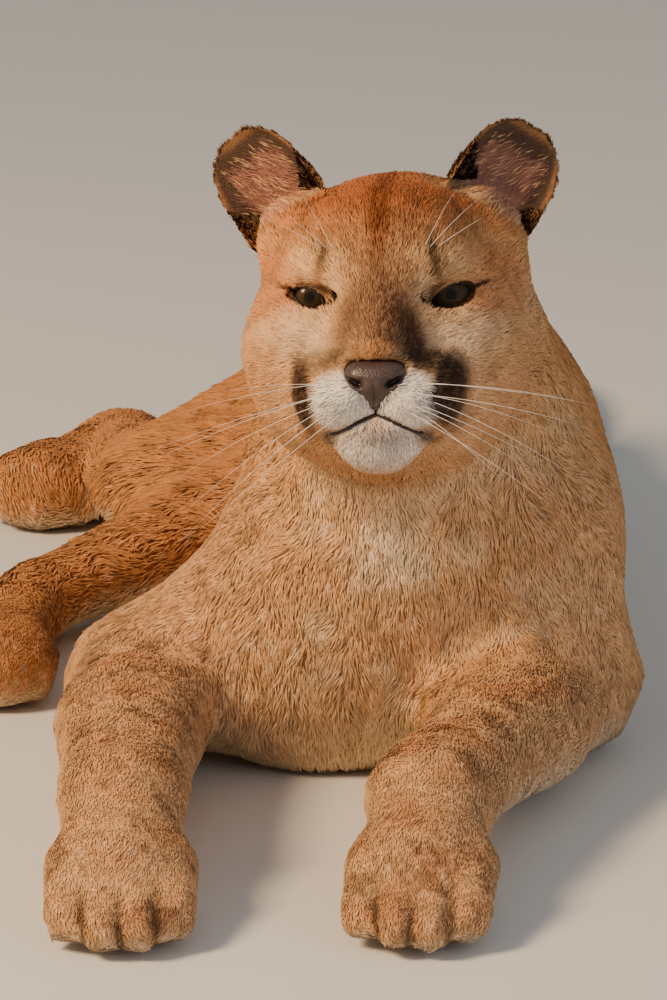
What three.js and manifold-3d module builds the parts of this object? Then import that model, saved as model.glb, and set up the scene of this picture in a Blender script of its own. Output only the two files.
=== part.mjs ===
// A life-size young cougar lying on its chest with the head raised, the forelegs stretched
// out in front and the hind legs out to its right, rolled over on the left haunch.
//
// Millimetres, +Z up. The animal looks along -Y; its own left side is +X. The floor is z = 0.
// The flesh is one smooth surface round a list of limbs and ovals, from which each named part
// is meshed or cut, so that neighbouring parts share one outline.
import * as THREE from "three";
import { mergeVertices } from "three/addons/utils/BufferGeometryUtils.js";
import Module from "manifold-3d";

const wasm = await Module();
wasm.setup();

// Driving dimensions
const GAP = 0.3; // free space between parts that touch
const EYE_APART = 80; // from one eye's middle to the other's
const EYE_RADIUS = 14;
const EYE_BACK = -2; // the eye's middle lies this far ahead of the head's own middle plane
const LID = 2.1; // thickness of the lids in front of the eye
const OPEN_WIDE = 26; // the slit between the lids, corner to corner
const OPEN_HIGH = 14.5;
const OPEN_TILT = THREE.MathUtils.degToRad(20); // the outer corner stands higher
const OPEN_OUT = THREE.MathUtils.degToRad(14); // and looks outwards
const EAR_TALL = 80;
const EAR_WIDE = 64;
const EAR_THICK = 4;
const NOSE_WIDE = 35;
const NOSE_TALL = 20;
const MOUTH_HALF = 31; // from the middle of the mouth to its corner, seen from the front
const MESH_STEP = { trunk: [30, 40, 28], paw: [10.6, 12.5, 10], hindFoot: [13, 13, 10.5] };

const at = (x, y, z) => new THREE.Vector3(x, y, z);
const mirror = (p, side) => at(p.x * side, p.y, p.z);
const unit = (a, b) => b.clone().sub(a).normalize();

// Where the head sits: the point midway between the eyes, and how the head is turned.
const head = new THREE.Group();
head.position.set(28, -95, 303);
head.rotation.set(
  THREE.MathUtils.degToRad(-14), // muzzle up
  THREE.MathUtils.degToRad(-2), // own left side up
  THREE.MathUtils.degToRad(-5), // turned to its right
  "ZXY",
);
head.updateMatrixWorld(true);
const toHead = head.matrixWorld.clone().invert();

// A place on the head: to its left, forwards to the nose, and up, from between the eyes.
const face = (left, ahead, up) => at(left, -ahead, up);

// Shapes. Each is a function from a point to its distance, below zero inside.
const spot = new THREE.Vector3();

function oval(centre, radii, blend) {
  const reach = Math.max(radii.x, radii.y, radii.z);
  const distance = (p) => {
    const x = p.x - centre.x;
    const y = p.y - centre.y;
    const z = p.z - centre.z;
    const near = Math.hypot(x / radii.x, y / radii.y, z / radii.z);
    const slope = Math.hypot(x / radii.x ** 2, y / radii.y ** 2, z / radii.z ** 2);
    return slope < 1e-9 ? -Math.min(radii.x, radii.y, radii.z) : (near * (near - 1)) / slope;
  };
  return { distance, blend, centre, reach };
}

// A limb from one joint to the next. Its section is round, or broad times as wide along side.
function limb(from, to, radiusFrom, radiusTo, blend, broad = 1, side = at(1, 0, 0)) {
  const along = to.clone().sub(from);
  const long2 = along.lengthSq();
  const distance = (p) => {
    spot.copy(p).sub(from);
    const share = THREE.MathUtils.clamp(spot.dot(along) / long2, 0, 1);
    spot.addScaledVector(along, -share);
    spot.addScaledVector(side, spot.dot(side) * (1 / broad - 1));
    const radius = THREE.MathUtils.lerp(radiusFrom, radiusTo, share);
    return (spot.length() - radius) * Math.min(1, broad);
  };
  const reach = Math.sqrt(long2) / 2 + Math.max(radiusFrom, radiusTo) * Math.max(1, broad);
  const centre = from.clone().lerp(to, 0.5);
  return { distance, blend, centre, reach, from, to, radiusFrom, radiusTo, broad, side };
}

// Shapes run together, each with its own softness of blend.
function together(shapes) {
  return (p) => {
    let nearest = Infinity;
    for (const { distance, blend, centre, reach } of shapes) {
      if (p.distanceTo(centre) - reach > nearest + blend) continue;
      const d = distance(p);
      const overlap = Math.max(blend - Math.abs(nearest - d), 0);
      nearest = Math.min(nearest, d) - (overlap * overlap) / (4 * Math.max(blend, 1e-6));
    }
    return nearest;
  };
}

// The skeleton
const spine = {
  brisket: at(40, 22, 106),
  ribs: at(52, 150, 112),
  lastRib: at(56, 330, 102),
  loin: at(54, 470, 86),
  croup: at(54, 600, 76),
  dock: at(42, 705, 58),
};
const neck = { low: at(59, 34, 190), high: at(43, -14, 286) };

const foreleg = {
  left: {
    blade: at(100, 80, 200),
    shoulder: at(118, -4, 140),
    elbow: at(145, 8, 41),
    wrist: at(56, -240, 50),
    heading: at(-0.1, -1, 0).normalize(),
  },
  right: {
    blade: at(6, 85, 190),
    shoulder: at(-10, -6, 112),
    elbow: at(-118, 14, 41),
    wrist: at(-118, -242, 50),
    heading: at(0.02, -1, 0).normalize(),
  },
};
const hindleg = {
  right: {
    hip: at(22, 606, 80),
    knee: at(-118, 425, 50),
    hock: at(-150, 640, 30),
    ball: at(-196, 538, 25),
    heading: at(-0.3, -0.95, 0).normalize(),
  },
  left: {
    hip: at(44, 596, 46),
    knee: at(-85, 350, 42),
    hock: at(-196, 225, 28),
    ball: at(-210, 118, 25),
    heading: at(-0.08, -1, 0).normalize(),
  },
};

// The flesh of the trunk and neck
const trunk = [
  limb(spine.brisket, spine.ribs, 108, 114, 20, 0.86),
  limb(spine.ribs, spine.lastRib, 114, 104, 30, 0.9),
  limb(spine.lastRib, spine.loin, 104, 88, 30, 0.92),
  limb(spine.loin, spine.croup, 88, 76, 30),
  limb(spine.croup, spine.dock, 74, 38, 30),
  limb(neck.low, neck.high, 98, 72, 46, 1.04),
  oval(at(56, 120, 196), at(54, 90, 48), 40),
  oval(at(-8, -20, 56), at(90, 64, 70), 30),
];

// One foreleg, from the shoulder blade to the wrist
function forelegFlesh({ blade, shoulder, elbow, wrist }) {
  const middle = elbow.clone().lerp(wrist, 0.45);
  return [
    limb(blade, shoulder, 42, 54, 40),
    limb(shoulder, elbow, 53, 43, 30),
    limb(elbow, middle, 43, 41, 16, 1.12),
    limb(middle, wrist, 41, 33, 16, 1.2),
  ];
}

// A paw: the broad back of it and four toes, the middle two in front. Sizes are shares of its width.
function pawFlesh(root, heading, width, long) {
  const side = at(-heading.y, heading.x, 0);
  const place = (ahead, across, up) =>
    at(root.x, root.y, 0)
      .addScaledVector(heading, ahead)
      .addScaledVector(side, across)
      .add(at(0, 0, up));
  const back = limb(root, place(long * 0.5, 0, 30), 32, 31, 14, width / 68, side);
  const toes = [-0.375, -0.13, 0.13, 0.375].map((share) => {
    const outer = Math.abs(share) > 0.2;
    const tip = long - (outer ? 32 : 17);
    return limb(
      place(long * 0.45, share * width * 0.86, 31),
      place(tip, share * width, 15),
      20,
      width * 0.178,
      7,
    );
  });
  return [back, ...toes];
}

// The sideways way across a bone that lies near the floor
const levelSide = (from, to) => at(0, 0, 1).cross(unit(from, to)).normalize();

// A hind leg lies on its inner or outer side, so that its thigh is broader than it is high.
function hindlegFlesh({ hip, knee, hock, ball }) {
  return [
    limb(hip, knee, 47, 36, 30, 1.6, levelSide(hip, knee)),
    limb(knee, hock, 37, 24, 14, 1.25, levelSide(knee, hock)),
    limb(hock, ball, 27, 26, 12, 1.1, levelSide(hock, ball)),
  ];
}

const FORE_PAW = { width: 81, long: 150 };
const HIND_PAW = { width: 80, long: 62 };
const sides = ["left", "right"];
const forelegs = Object.fromEntries(sides.map((s) => [s, forelegFlesh(foreleg[s])]));
const hindlegs = Object.fromEntries(sides.map((s) => [s, hindlegFlesh(hindleg[s])]));
const forepaws = Object.fromEntries(
  sides.map((s) => {
    const { wrist, heading } = foreleg[s];
    return [s, pawFlesh(wrist, heading, FORE_PAW.width, FORE_PAW.long)];
  }),
);
const hindpaws = Object.fromEntries(
  sides.map((s) => {
    const { ball, heading } = hindleg[s];
    return [s, pawFlesh(ball, heading, HIND_PAW.width, HIND_PAW.long)];
  }),
);

// The flesh of the head, in the head's own frame
const both = (make) => [make(1), make(-1)];
const skull = together([
  oval(face(0, -42, 10), at(66, 68, 55), 20), // braincase
  oval(face(0, -10, 24), at(52, 34, 38), 20), // forehead
  ...both((s) => oval(face(46 * s, -26, -30), at(40, 46, 46), 24)), // cheeks
  ...both((s) => oval(face(34 * s, -26, -66), at(34, 42, 32), 24)), // jowls
  ...both((s) => oval(face(42 * s, 0, -22), at(24, 19, 20), 16)), // cheekbones
  ...both((s) => oval(face(29 * s, 2, 21), at(22, 17, 13), 14)), // brows
  limb(face(0, 0, 10), face(0, 52, -36), 24, 17, 18, 1.2), // bridge of the nose
  ...both((s) => oval(face(21 * s, 43, -60), at(25, 26, 20), 8)), // whisker pads
  ...both((s) => oval(face(30 * s, 24, -55), at(22, 26, 24), 14)),
  limb(face(0, 34, -81), face(0, -45, -72), 22, 38, 14, 1.1), // lower jaw
  oval(face(0, 42, -83), at(23, 19, 17), 7), // chin
  ...both((s) => oval(face((s * EYE_APART) / 2, EYE_BACK, 0), at(1, 1, 1).multiplyScalar(EYE_RADIUS + LID), 6)),
  ...both((s) => oval(face(52 * s, -50, 36), at(26, 22, 24), 16)), // roots of the ears
]);

const rest = together([
  ...trunk,
  ...forelegs.left,
  ...forelegs.right,
  ...hindlegs.right,
  ...hindlegs.left,
  ...forepaws.left,
  ...forepaws.right,
  ...hindpaws.right,
  ...hindpaws.left,
]);
const HEAD_BLEND = 34;
const inHead = new THREE.Vector3();
function flesh(p) {
  const body = rest(p);
  if (p.distanceTo(head.position) > 260) return body;
  const skullHere = skull(inHead.copy(p).applyMatrix4(toHead));
  const overlap = Math.max(HEAD_BLEND - Math.abs(body - skullHere), 0);
  return Math.min(body, skullHere) - (overlap * overlap) / (4 * HEAD_BLEND);
}

// The way in which a distance grows fastest, at a point
function outward(distance, p, step = 0.5) {
  const probe = p.clone();
  const slope = ["x", "y", "z"].map((axis) => {
    probe[axis] = p[axis] + step;
    const above = distance(probe);
    probe[axis] = p[axis] - step;
    const below = distance(probe);
    probe[axis] = p[axis];
    return (above - below) / (2 * step);
  });
  return at(...slope);
}

// Grid lines: a start, then steps and the marks where each step's stretch ends.
function gridLines(start, ...stretches) {
  const lines = [start];
  for (let i = 0; i < stretches.length; i += 2) {
    const [step, mark] = stretches.slice(i, i + 2);
    const from = lines.at(-1);
    const count = Math.max(1, Math.round((mark - from) / step));
    for (let n = 1; n <= count; n++) lines.push(from + ((mark - from) * n) / count);
  }
  return lines;
}

// The surface where distance is zero, as a closed mesh of one vertex a grid cell.
function netGeometry(distance, xs, ys, zs) {
  const [nx, ny, nz] = [xs.length, ys.length, zs.length];
  const index = (i, j, k) => (k * ny + j) * nx + i;
  const values = new Float32Array(nx * ny * nz);
  const p = new THREE.Vector3();
  for (let k = 0; k < nz; k++)
    for (let j = 0; j < ny; j++)
      for (let i = 0; i < nx; i++) {
        const edge = i * j * k === 0 || i === nx - 1 || j === ny - 1 || k === nz - 1;
        values[index(i, j, k)] = edge ? 1 : distance(p.set(xs[i], ys[j], zs[k]));
      }

  // Where two corners across a grid square are inside and the other two outside, one is taken in,
  // so that no edge of the surface is shared by four faces.
  const strides = [1, nx, nx * ny];
  for (let again = true; again; ) {
    again = false;
    for (let n = 0; n + nx * ny + nx + 1 < values.length; n++)
      for (const [a, b] of [[0, 1], [1, 2], [0, 2]]) {
        const square = [n, n + strides[a], n + strides[a] + strides[b], n + strides[b]];
        const inside = square.map((corner) => values[corner] < 0);
        if (inside[0] !== inside[2] || inside[1] !== inside[3] || inside[0] === inside[1]) continue;
        const open = square.filter((corner) => values[corner] >= 0);
        values[values[open[0]] < values[open[1]] ? open[0] : open[1]] = -0.01;
        again = true;
      }
  }

  const cells = new Map();
  const vertices = [];
  function cellVertex(i, j, k) {
    const key = index(i, j, k);
    if (cells.has(key)) return cells.get(key);
    const sum = new THREE.Vector3();
    let crossings = 0;
    const corner = (a, b, c) => [i + a, j + b, k + c];
    const edges = [];
    for (let a = 0; a < 2; a++)
      for (let b = 0; b < 2; b++)
        edges.push(
          [corner(0, a, b), corner(1, a, b)],
          [corner(a, 0, b), corner(a, 1, b)],
          [corner(a, b, 0), corner(a, b, 1)],
        );
    for (const [from, to] of edges) {
      const u = values[index(...from)];
      const v = values[index(...to)];
      if (u < 0 === v < 0) continue;
      const share = u / (u - v);
      const start = at(xs[from[0]], ys[from[1]], zs[from[2]]);
      sum.add(start.lerp(at(xs[to[0]], ys[to[1]], zs[to[2]]), share));
      crossings++;
    }
    sum.divideScalar(crossings);
    const step = Math.min(xs[i + 1] - xs[i], ys[j + 1] - ys[j], zs[k + 1] - zs[k]);
    for (let turn = 0; turn < 3; turn++) {
      const off = distance(sum);
      if (Math.abs(off) > step * 0.6) break;
      const slope = outward(distance, sum);
      sum.addScaledVector(slope, -off / Math.max(slope.lengthSq(), 0.25));
    }
    cells.set(key, vertices.length / 3);
    vertices.push(sum.x, sum.y, sum.z);
    return cells.get(key);
  }

  const triangles = [];
  const quad = (a, b, c, d, flip) =>
    triangles.push(...(flip ? [a, c, b, a, d, c] : [a, b, c, a, c, d]));
  for (let k = 0; k < nz - 1; k++)
    for (let j = 0; j < ny - 1; j++)
      for (let i = 0; i < nx - 1; i++) {
        const here = values[index(i, j, k)] < 0;
        const around = (cellsAround, neighbour) => {
          if (here === values[neighbour] < 0) return;
          quad(...cellsAround.map((c) => cellVertex(...c)), !here);
        };
        around(
          [[i, j - 1, k - 1], [i, j, k - 1], [i, j, k], [i, j - 1, k]],
          index(i + 1, j, k),
        );
        around(
          [[i - 1, j, k - 1], [i - 1, j, k], [i, j, k], [i, j, k - 1]],
          index(i, j + 1, k),
        );
        around(
          [[i - 1, j - 1, k], [i, j - 1, k], [i, j, k], [i - 1, j, k]],
          index(i, j, k + 1),
        );
      }
  return new THREE.BufferGeometry()
    .setAttribute("position", new THREE.Float32BufferAttribute(vertices, 3))
    .setIndex(triangles);
}

// A closed tube of rings that lie across a line of points, each ring a list of corners. An end is
// a fan round its middle, or where the ring goes out and back beside itself, a strip between.
function ringsGeometry(rings, strip = false) {
  const count = rings[0].length;
  const middle = (ring) =>
    ring.reduce((sum, p) => sum.add(p), new THREE.Vector3()).divideScalar(count);
  const points = rings.flat();
  if (!strip) points.push(middle(rings[0]), middle(rings.at(-1)));
  const triangles = [];
  const [first, last] = [points.length - 2, points.length - 1];
  const end = (rings.length - 1) * count;
  for (let n = 0; n < count; n++) {
    const next = (n + 1) % count;
    for (let r = 0; r + 1 < rings.length; r++) {
      const a = r * count;
      const b = a + count;
      triangles.push(a + n, a + next, b + next, a + n, b + next, b + n);
    }
    if (!strip) triangles.push(first, next, n, last, end + n, end + next);
  }
  for (let n = 0; strip && n < count / 2 - 1; n++) {
    const [far, near] = [count - 1 - n, count - 2 - n];
    triangles.push(n + 1, n, far, n + 1, far, near);
    triangles.push(end + n, end + n + 1, end + far, end + n + 1, end + near, end + far);
  }
  return new THREE.BufferGeometry()
    .setFromPoints(points)
    .setIndex(triangles);
}

// A limb's tube, its corners pushed out from the bone to the flesh's surface.
function limbGeometry(from, to, rings, corners, most) {
  const along = unit(from, to);
  const side = at(0, 0, 1).cross(along).normalize();
  const up = along.clone().cross(side);
  const made = [];
  for (let r = 0; r <= rings; r++) {
    const centre = from.clone().lerp(to, r / rings);
    made.push(
      Array.from({ length: corners }, (_, n) => {
        const turn = (n / corners) * 2 * Math.PI;
        const way = side.clone().multiplyScalar(Math.cos(turn)).addScaledVector(up, Math.sin(turn));
        const p = centre.clone();
        for (let step = 0; step < 24; step++) {
          const off = flesh(p);
          if (Math.abs(off) < 0.05) break;
          p.addScaledVector(way, -off * 0.9);
        }
        const far = p.distanceTo(centre);
        return far > most ? centre.clone().addScaledVector(way, most) : p;
      }),
    );
  }
  return ringsGeometry(made);
}

// Solids from geometries, and back
function solid(geometry) {
  const bare = geometry.index ? geometry.toNonIndexed() : geometry.clone();
  for (const name of Object.keys(bare.attributes)) if (name !== "position") bare.deleteAttribute(name);
  const merged = mergeVertices(bare, 1e-3);
  return new wasm.Manifold(
    new wasm.Mesh({
      numProp: 3,
      vertProperties: merged.attributes.position.array,
      triVerts: new Uint32Array(merged.index.array),
    }),
  );
}

function geometryOf(made) {
  const mesh = made.getMesh();
  return new THREE.BufferGeometry()
    .setAttribute("position", new THREE.BufferAttribute(new Float32Array(mesh.vertProperties), 3))
    .setIndex(new THREE.BufferAttribute(new Uint32Array(mesh.triVerts), 1));
}

function flipFaces(geometry) {
  const position = geometry.getAttribute("position");
  const flipped = [];
  for (let i = 0; i < position.count; i += 3)
    for (const corner of [i, i + 2, i + 1])
      flipped.push(position.getX(corner), position.getY(corner), position.getZ(corner));
  geometry.setAttribute("position", new THREE.Float32BufferAttribute(flipped, 3));
}

const orient = (geometry) => {
  const bare = geometry.toNonIndexed();
  const made = solid(bare);
  if (made.volume() > 0) return made;
  flipFaces(bare);
  return solid(bare);
};

// Edges shorter than this, left where surfaces cross, are closed up where the shape allows it.
const SHORTEST = 0.4;
function tidy(geometry) {
  const position = geometry.getAttribute("position");
  const points = Array.from({ length: position.count }, (_, i) => new THREE.Vector3().fromBufferAttribute(position, i));
  const faces = [];
  const index = geometry.index.array;
  for (let i = 0; i < index.length; i += 3) faces.push([index[i], index[i + 1], index[i + 2]]);
  const facesOf = points.map(() => new Set());
  faces.forEach((face, f) => face.forEach((v) => facesOf[v].add(f)));
  const neighbours = (v) => new Set([...facesOf[v]].flatMap((f) => faces[f]).filter((w) => w !== v));
  const square = (face) => {
    const [a, b, c] = face.map((v) => points[v]);
    return b.clone().sub(a).cross(c.clone().sub(a));
  };
  function close(from, to) {
    const shared = [...facesOf[from]].filter((f) => facesOf[to].has(f));
    const around = neighbours(to);
    const common = [...neighbours(from)].filter((v) => around.has(v));
    if (shared.length !== 2 || common.length !== 2) return false;
    const kept = [...facesOf[from]].filter((f) => !facesOf[to].has(f));
    for (const f of kept) {
      const before = square(faces[f]);
      const after = square(faces[f].map((v) => (v === from ? to : v)));
      if (after.length() < 0.02) return false;
      if (before.length() > 0.05 && before.dot(after) < 0.8 * before.length() * after.length()) return false;
    }
    for (const f of shared) for (const v of faces[f]) facesOf[v].delete(f);
    for (const f of kept) {
      faces[f] = faces[f].map((v) => (v === from ? to : v));
      facesOf[to].add(f);
    }
    facesOf[from].clear();
    return true;
  }
  for (let turn = 0; turn < 3; turn++) {
    const edges = [];
    for (let v = 0; v < points.length; v++)
      for (const w of neighbours(v))
        if (v < w && points[v].distanceTo(points[w]) < SHORTEST) edges.push([v, w]);
    edges.sort(([a, b], [c, d]) => points[a].distanceTo(points[b]) - points[c].distanceTo(points[d]));
    for (const [v, w] of edges)
      if (facesOf[v].size && facesOf[w].size && neighbours(v).has(w)) close(v, w) || close(w, v);
  }
  const left = [...new Set(facesOf.flatMap((set) => [...set]))];
  return new THREE.BufferGeometry()
    .setFromPoints(points)
    .setIndex(left.flatMap((f) => faces[f]));
}

const largest = (made) => made.decompose().sort((a, b) => b.volume() - a.volume())[0];

// What lies ahead of a plane, less half a gap
const ahead = (made, point, normal) =>
  made.trimByPlane([normal.x, normal.y, normal.z], point.dot(normal) + GAP / 2);
const behind = (made, point, normal) => ahead(made, point, normal.clone().negate());
const UP = at(0, 0, 1);
const onFloor = (made) => made.trimByPlane([0, 0, 1], 0);

// The room a limb takes in the trunk: a run of capsules round its bones, fatter than its flesh
// and set outwards. The trunk leaves a gap more than the limb fills.
const LIMB_ROOM = 9;
function capsule({ from, to, radiusFrom, radiusTo, broad, side }, extra) {
  const long = from.distanceTo(to);
  const [low, high] = [radiusFrom + extra, radiusTo + extra];
  const lean = Math.asin((low - high) / long);
  const profile = [];
  for (let n = 0; n <= 2; n++) {
    const turn = THREE.MathUtils.lerp(-Math.PI / 2, lean, n / 2);
    profile.push(new THREE.Vector2(low * Math.cos(turn), low * Math.sin(turn)));
  }
  for (let n = 0; n <= 2; n++) {
    const turn = THREE.MathUtils.lerp(lean, Math.PI / 2, n / 2);
    profile.push(new THREE.Vector2(high * Math.cos(turn), long + high * Math.sin(turn)));
  }
  profile[0].x = 0;
  profile.at(-1).x = 0;
  const along = unit(from, to);
  const across = side.clone().addScaledVector(along, -side.dot(along)).normalize();
  const place = new THREE.Matrix4()
    .makeBasis(across, along, across.clone().cross(along))
    .setPosition(from)
    .scale(at(Math.max(broad, 1), 1, 1));
  return solid(new THREE.LatheGeometry(profile, 12).applyMatrix4(place));
}

function limbRoom(shapes) {
  const grown = (extra) =>
    shapes.map((shape) => capsule(shape, extra)).reduce((all, next) => all.add(next));
  return { inner: grown(LIMB_ROOM), outer: grown(LIMB_ROOM + GAP * 2) };
}

// The trunk with the roots of its limbs, meshed whole
const [trunkX, trunkY, trunkZ] = MESH_STEP.trunk;
const trunkLines = [
  gridLines(-232, trunkX, 258),
  gridLines(-150, trunkX, 90, trunkY, 790),
  gridLines(-26, trunkZ, 345),
];
const whole = solid(netGeometry(flesh, ...trunkLines));

// A limb's upper room holds all of the joint at its lower end, so the lower room begins beyond it.
const outwards = (p, way, aside, up) => p.clone().add(at(way * aside, 0, up));
const room = {};
for (const s of sides) {
  const way = s === "left" ? 1 : -1;
  const { blade, shoulder, elbow } = foreleg[s];
  const set = [outwards(blade, way, 26, 0), outwards(shoulder, way, 22, 0), outwards(elbow, way, 4, 4)];
  room[`arm_${s}`] = limbRoom([limb(set[0], set[1], 52, 65, 0), limb(set[1], set[2], 65, 54, 0)]);
  room[`forearm_${s}`] = limbRoom(forelegs[s].slice(2));
  room[`thigh_${s}`] = limbRoom(hindlegs[s].slice(0, 1));
  room[`shank_${s}`] = limbRoom(hindlegs[s].slice(1, 2));
}

const parts = new Map(); // name to [solid, colour, roughness]
const TAWNY = 0xc98d57;
const DARK = 0x3a2b22;
const put = (name, made, colour = TAWNY, roughness = 0.9) =>
  parts.set(name, { geometry: tidy(geometryOf(largest(onFloor(made)))), colour, roughness });

// Forelegs: upper arm with the shoulder and elbow, forearm, paw. The left yields to the right
// where they would meet inside the chest.
const [pawX, pawY, pawZ] = MESH_STEP.paw;
const [footX, footY, footZ] = MESH_STEP.hindFoot;
for (const s of sides) {
  const { elbow, wrist, heading } = foreleg[s];
  const down = unit(elbow, wrist);
  const wristCut = wrist.clone().addScaledVector(down, 4);
  const source = s === "left" ? whole.subtract(room.arm_right.outer) : whole;
  put(`upper_arm_${s}`, source.intersect(room[`arm_${s}`].inner));

  const arm = solid(limbGeometry(elbow, wrist.clone().addScaledVector(down, 30), 8, 12, 72));
  const bare = arm.intersect(room[`forearm_${s}`].inner).subtract(room[`arm_${s}`].outer);
  put(`forearm_${s}`, behind(bare, wristCut, down));

  const reach = wrist.clone().addScaledVector(heading, 70);
  const paw = solid(
    netGeometry(
      flesh,
      gridLines(reach.x - 66, pawX, reach.x + 66),
      gridLines(reach.y - 92, pawY, reach.y + 106),
      gridLines(-8, pawZ, 96),
    ),
  );
  put(`forepaw_${s}`, ahead(paw, wristCut, down));
}

// Hind legs: thigh with the knee, shank with the hock, foot. The right leg lies over the left.
for (const s of ["right", "left"]) {
  const { knee, hock, ball } = hindleg[s];
  const over = (made) =>
    s === "left" ? made.subtract(room.thigh_right.outer).subtract(room.shank_right.outer) : made;
  put(`thigh_${s}`, over(whole.intersect(room[`thigh_${s}`].inner)));

  const past = hock.clone().addScaledVector(unit(knee, hock), 20);
  const shank = solid(limbGeometry(knee, past, 7, 12, 72)).intersect(room[`shank_${s}`].inner);
  put(`shank_${s}`, over(shank.subtract(room[`thigh_${s}`].outer)));

  const middle = hock.clone().lerp(ball, 0.75);
  const foot = solid(
    netGeometry(
      flesh,
      gridLines(middle.x - 88, footX, middle.x + 62),
      gridLines(middle.y - 128, footY, middle.y + 62),
      gridLines(-8, footZ, 72),
    ),
  );
  put(`hind_foot_${s}`, foot.subtract(room[`shank_${s}`].outer).subtract(room[`thigh_${s}`].outer));
}

// The trunk less its limbs, parted into neck, chest, loin and hips
let bare = whole;
for (const { outer } of Object.values(room)) bare = bare.subtract(outer);
const napeCut = { point: at(38, -30, 268), normal: at(-0.1, -0.74, 0.67).normalize() };
const chestCut = { point: at(50, 50, 214), normal: at(-0.08, -0.56, 0.82).normalize() };
const ribCut = { point: at(55, 315, 100), normal: at(0, 1, -0.05).normalize() };
const hipCut = { point: at(54, 495, 84), normal: at(0, 1, -0.08).normalize() };
const dockCut = { point: spine.dock, normal: unit(spine.croup, spine.dock) };
const cut = (made, front, back) =>
  back ? behind(ahead(made, front.point, front.normal), back.point, back.normal) : made;
put("neck", cut(bare, chestCut, napeCut));
put("chest", behind(behind(bare, chestCut.point, chestCut.normal), ribCut.point, ribCut.normal));
put("loin", cut(bare, ribCut, hipCut));
put("hips", cut(bare, hipCut, dockCut));

// The tail: from the croup round behind the hind feet, laid along the floor
const TAIL = [
  [42, 705, 58, 36],
  [30, 775, 32, 27],
  [30, 850, 22, 22.5],
  [62, 915, 19.5, 20.5],
  [118, 925, 19, 20],
  [158, 875, 19, 20],
  [170, 800, 18.5, 19.5],
  [168, 725, 18, 19],
  [162, 665, 16.5, 17],
];
const tailPath = new THREE.CatmullRomCurve3(TAIL.map(([x, y, z]) => at(x, y, z)), false, "centripetal");
const TAIL_RINGS = 30;
const TAIL_CORNERS = 10;
const tailRings = Array.from({ length: TAIL_RINGS + 1 }, (_, r) => {
  const share = r / TAIL_RINGS;
  const centre = tailPath.getPoint(share);
  const along = tailPath.getTangent(share);
  const side = along.clone().cross(UP).normalize();
  const up = side.clone().cross(along);
  const place = share * (TAIL.length - 1);
  const from = TAIL[Math.floor(place)];
  const to = TAIL[Math.min(Math.floor(place) + 1, TAIL.length - 1)];
  let radius = THREE.MathUtils.lerp(from[3], to[3], place % 1);
  if (r === TAIL_RINGS) radius *= 0.55;
  return Array.from({ length: TAIL_CORNERS }, (_, n) => {
    const turn = (n / TAIL_CORNERS) * 2 * Math.PI;
    return centre
      .clone()
      .addScaledVector(side, radius * Math.cos(turn))
      .addScaledVector(up, radius * Math.sin(turn));
  });
});
const TAIL_PARTS = ["tail_root", "tail_middle", "tail_tip"];
TAIL_PARTS.forEach((name, n) => {
  const first = Math.round((TAIL_RINGS * n) / TAIL_PARTS.length);
  const last = Math.round((TAIL_RINGS * (n + 1)) / TAIL_PARTS.length);
  let made = orient(ringsGeometry(tailRings.slice(first, last + 1)));
  const start = { point: tailPath.getPoint(first / TAIL_RINGS), way: tailPath.getTangent(first / TAIL_RINGS) };
  const end = { point: tailPath.getPoint(last / TAIL_RINGS), way: tailPath.getTangent(last / TAIL_RINGS) };
  made = ahead(made, n ? start.point : dockCut.point, n ? start.way : dockCut.normal);
  if (n < TAIL_PARTS.length - 1) made = behind(made, end.point, end.way);
  put(name, made, n === TAIL_PARTS.length - 1 ? DARK : TAWNY);
});

// The head, with its eyes, ears and nose, made in the head's own frame
const inWorld = new THREE.Vector3();
const skinOfHead = (p) => flesh(inWorld.copy(p).applyMatrix4(head.matrixWorld));
let skullSolid = solid(
  netGeometry(
    skinOfHead,
    gridLines(-112, 14, -60, 8.4, 60, 14, 112),
    gridLines(-92, 8, 6, 17, 158),
    gridLines(-132, 13, -108, 8, 30, 14, 98),
  ),
);

// Eyes: a ball behind two lids. The slit is a lens whose corners are the corners of the eye.
const eyePlace = (s) => face((s * EYE_APART) / 2, EYE_BACK, 0);
const ball = (centre, radius, wide = 16, high = 10) =>
  solid(new THREE.SphereGeometry(radius, wide, high)).translate([centre.x, centre.y, centre.z]);

function slitSolid(s) {
  const corner = OPEN_WIDE / 2;
  const shape = new THREE.Shape();
  shape.moveTo(-corner, -1.2);
  shape.bezierCurveTo(-corner * 0.55, OPEN_HIGH * 0.66, corner * 0.5, OPEN_HIGH * 0.66, corner, 0.6);
  shape.bezierCurveTo(corner * 0.55, -OPEN_HIGH * 0.6, -corner * 0.5, -OPEN_HIGH * 0.66, -corner, -1.2);
  const block = new THREE.ExtrudeGeometry(shape, { depth: 40, bevelEnabled: false, curveSegments: 8 });
  const place = new THREE.Group();
  place.position.copy(eyePlace(s));
  place.scale.x = s; // the same slit on the other side
  place.rotation.set(Math.PI / 2, -OPEN_TILT * s, OPEN_OUT * s, "ZXY");
  place.updateMatrixWorld(true);
  block.applyMatrix4(place.matrixWorld);
  if (s < 0) flipFaces(block);
  return solid(block);
}

for (const s of [1, -1])
  skullSolid = skullSolid.subtract(ball(eyePlace(s), EYE_RADIUS + GAP)).subtract(slitSolid(s));

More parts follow.
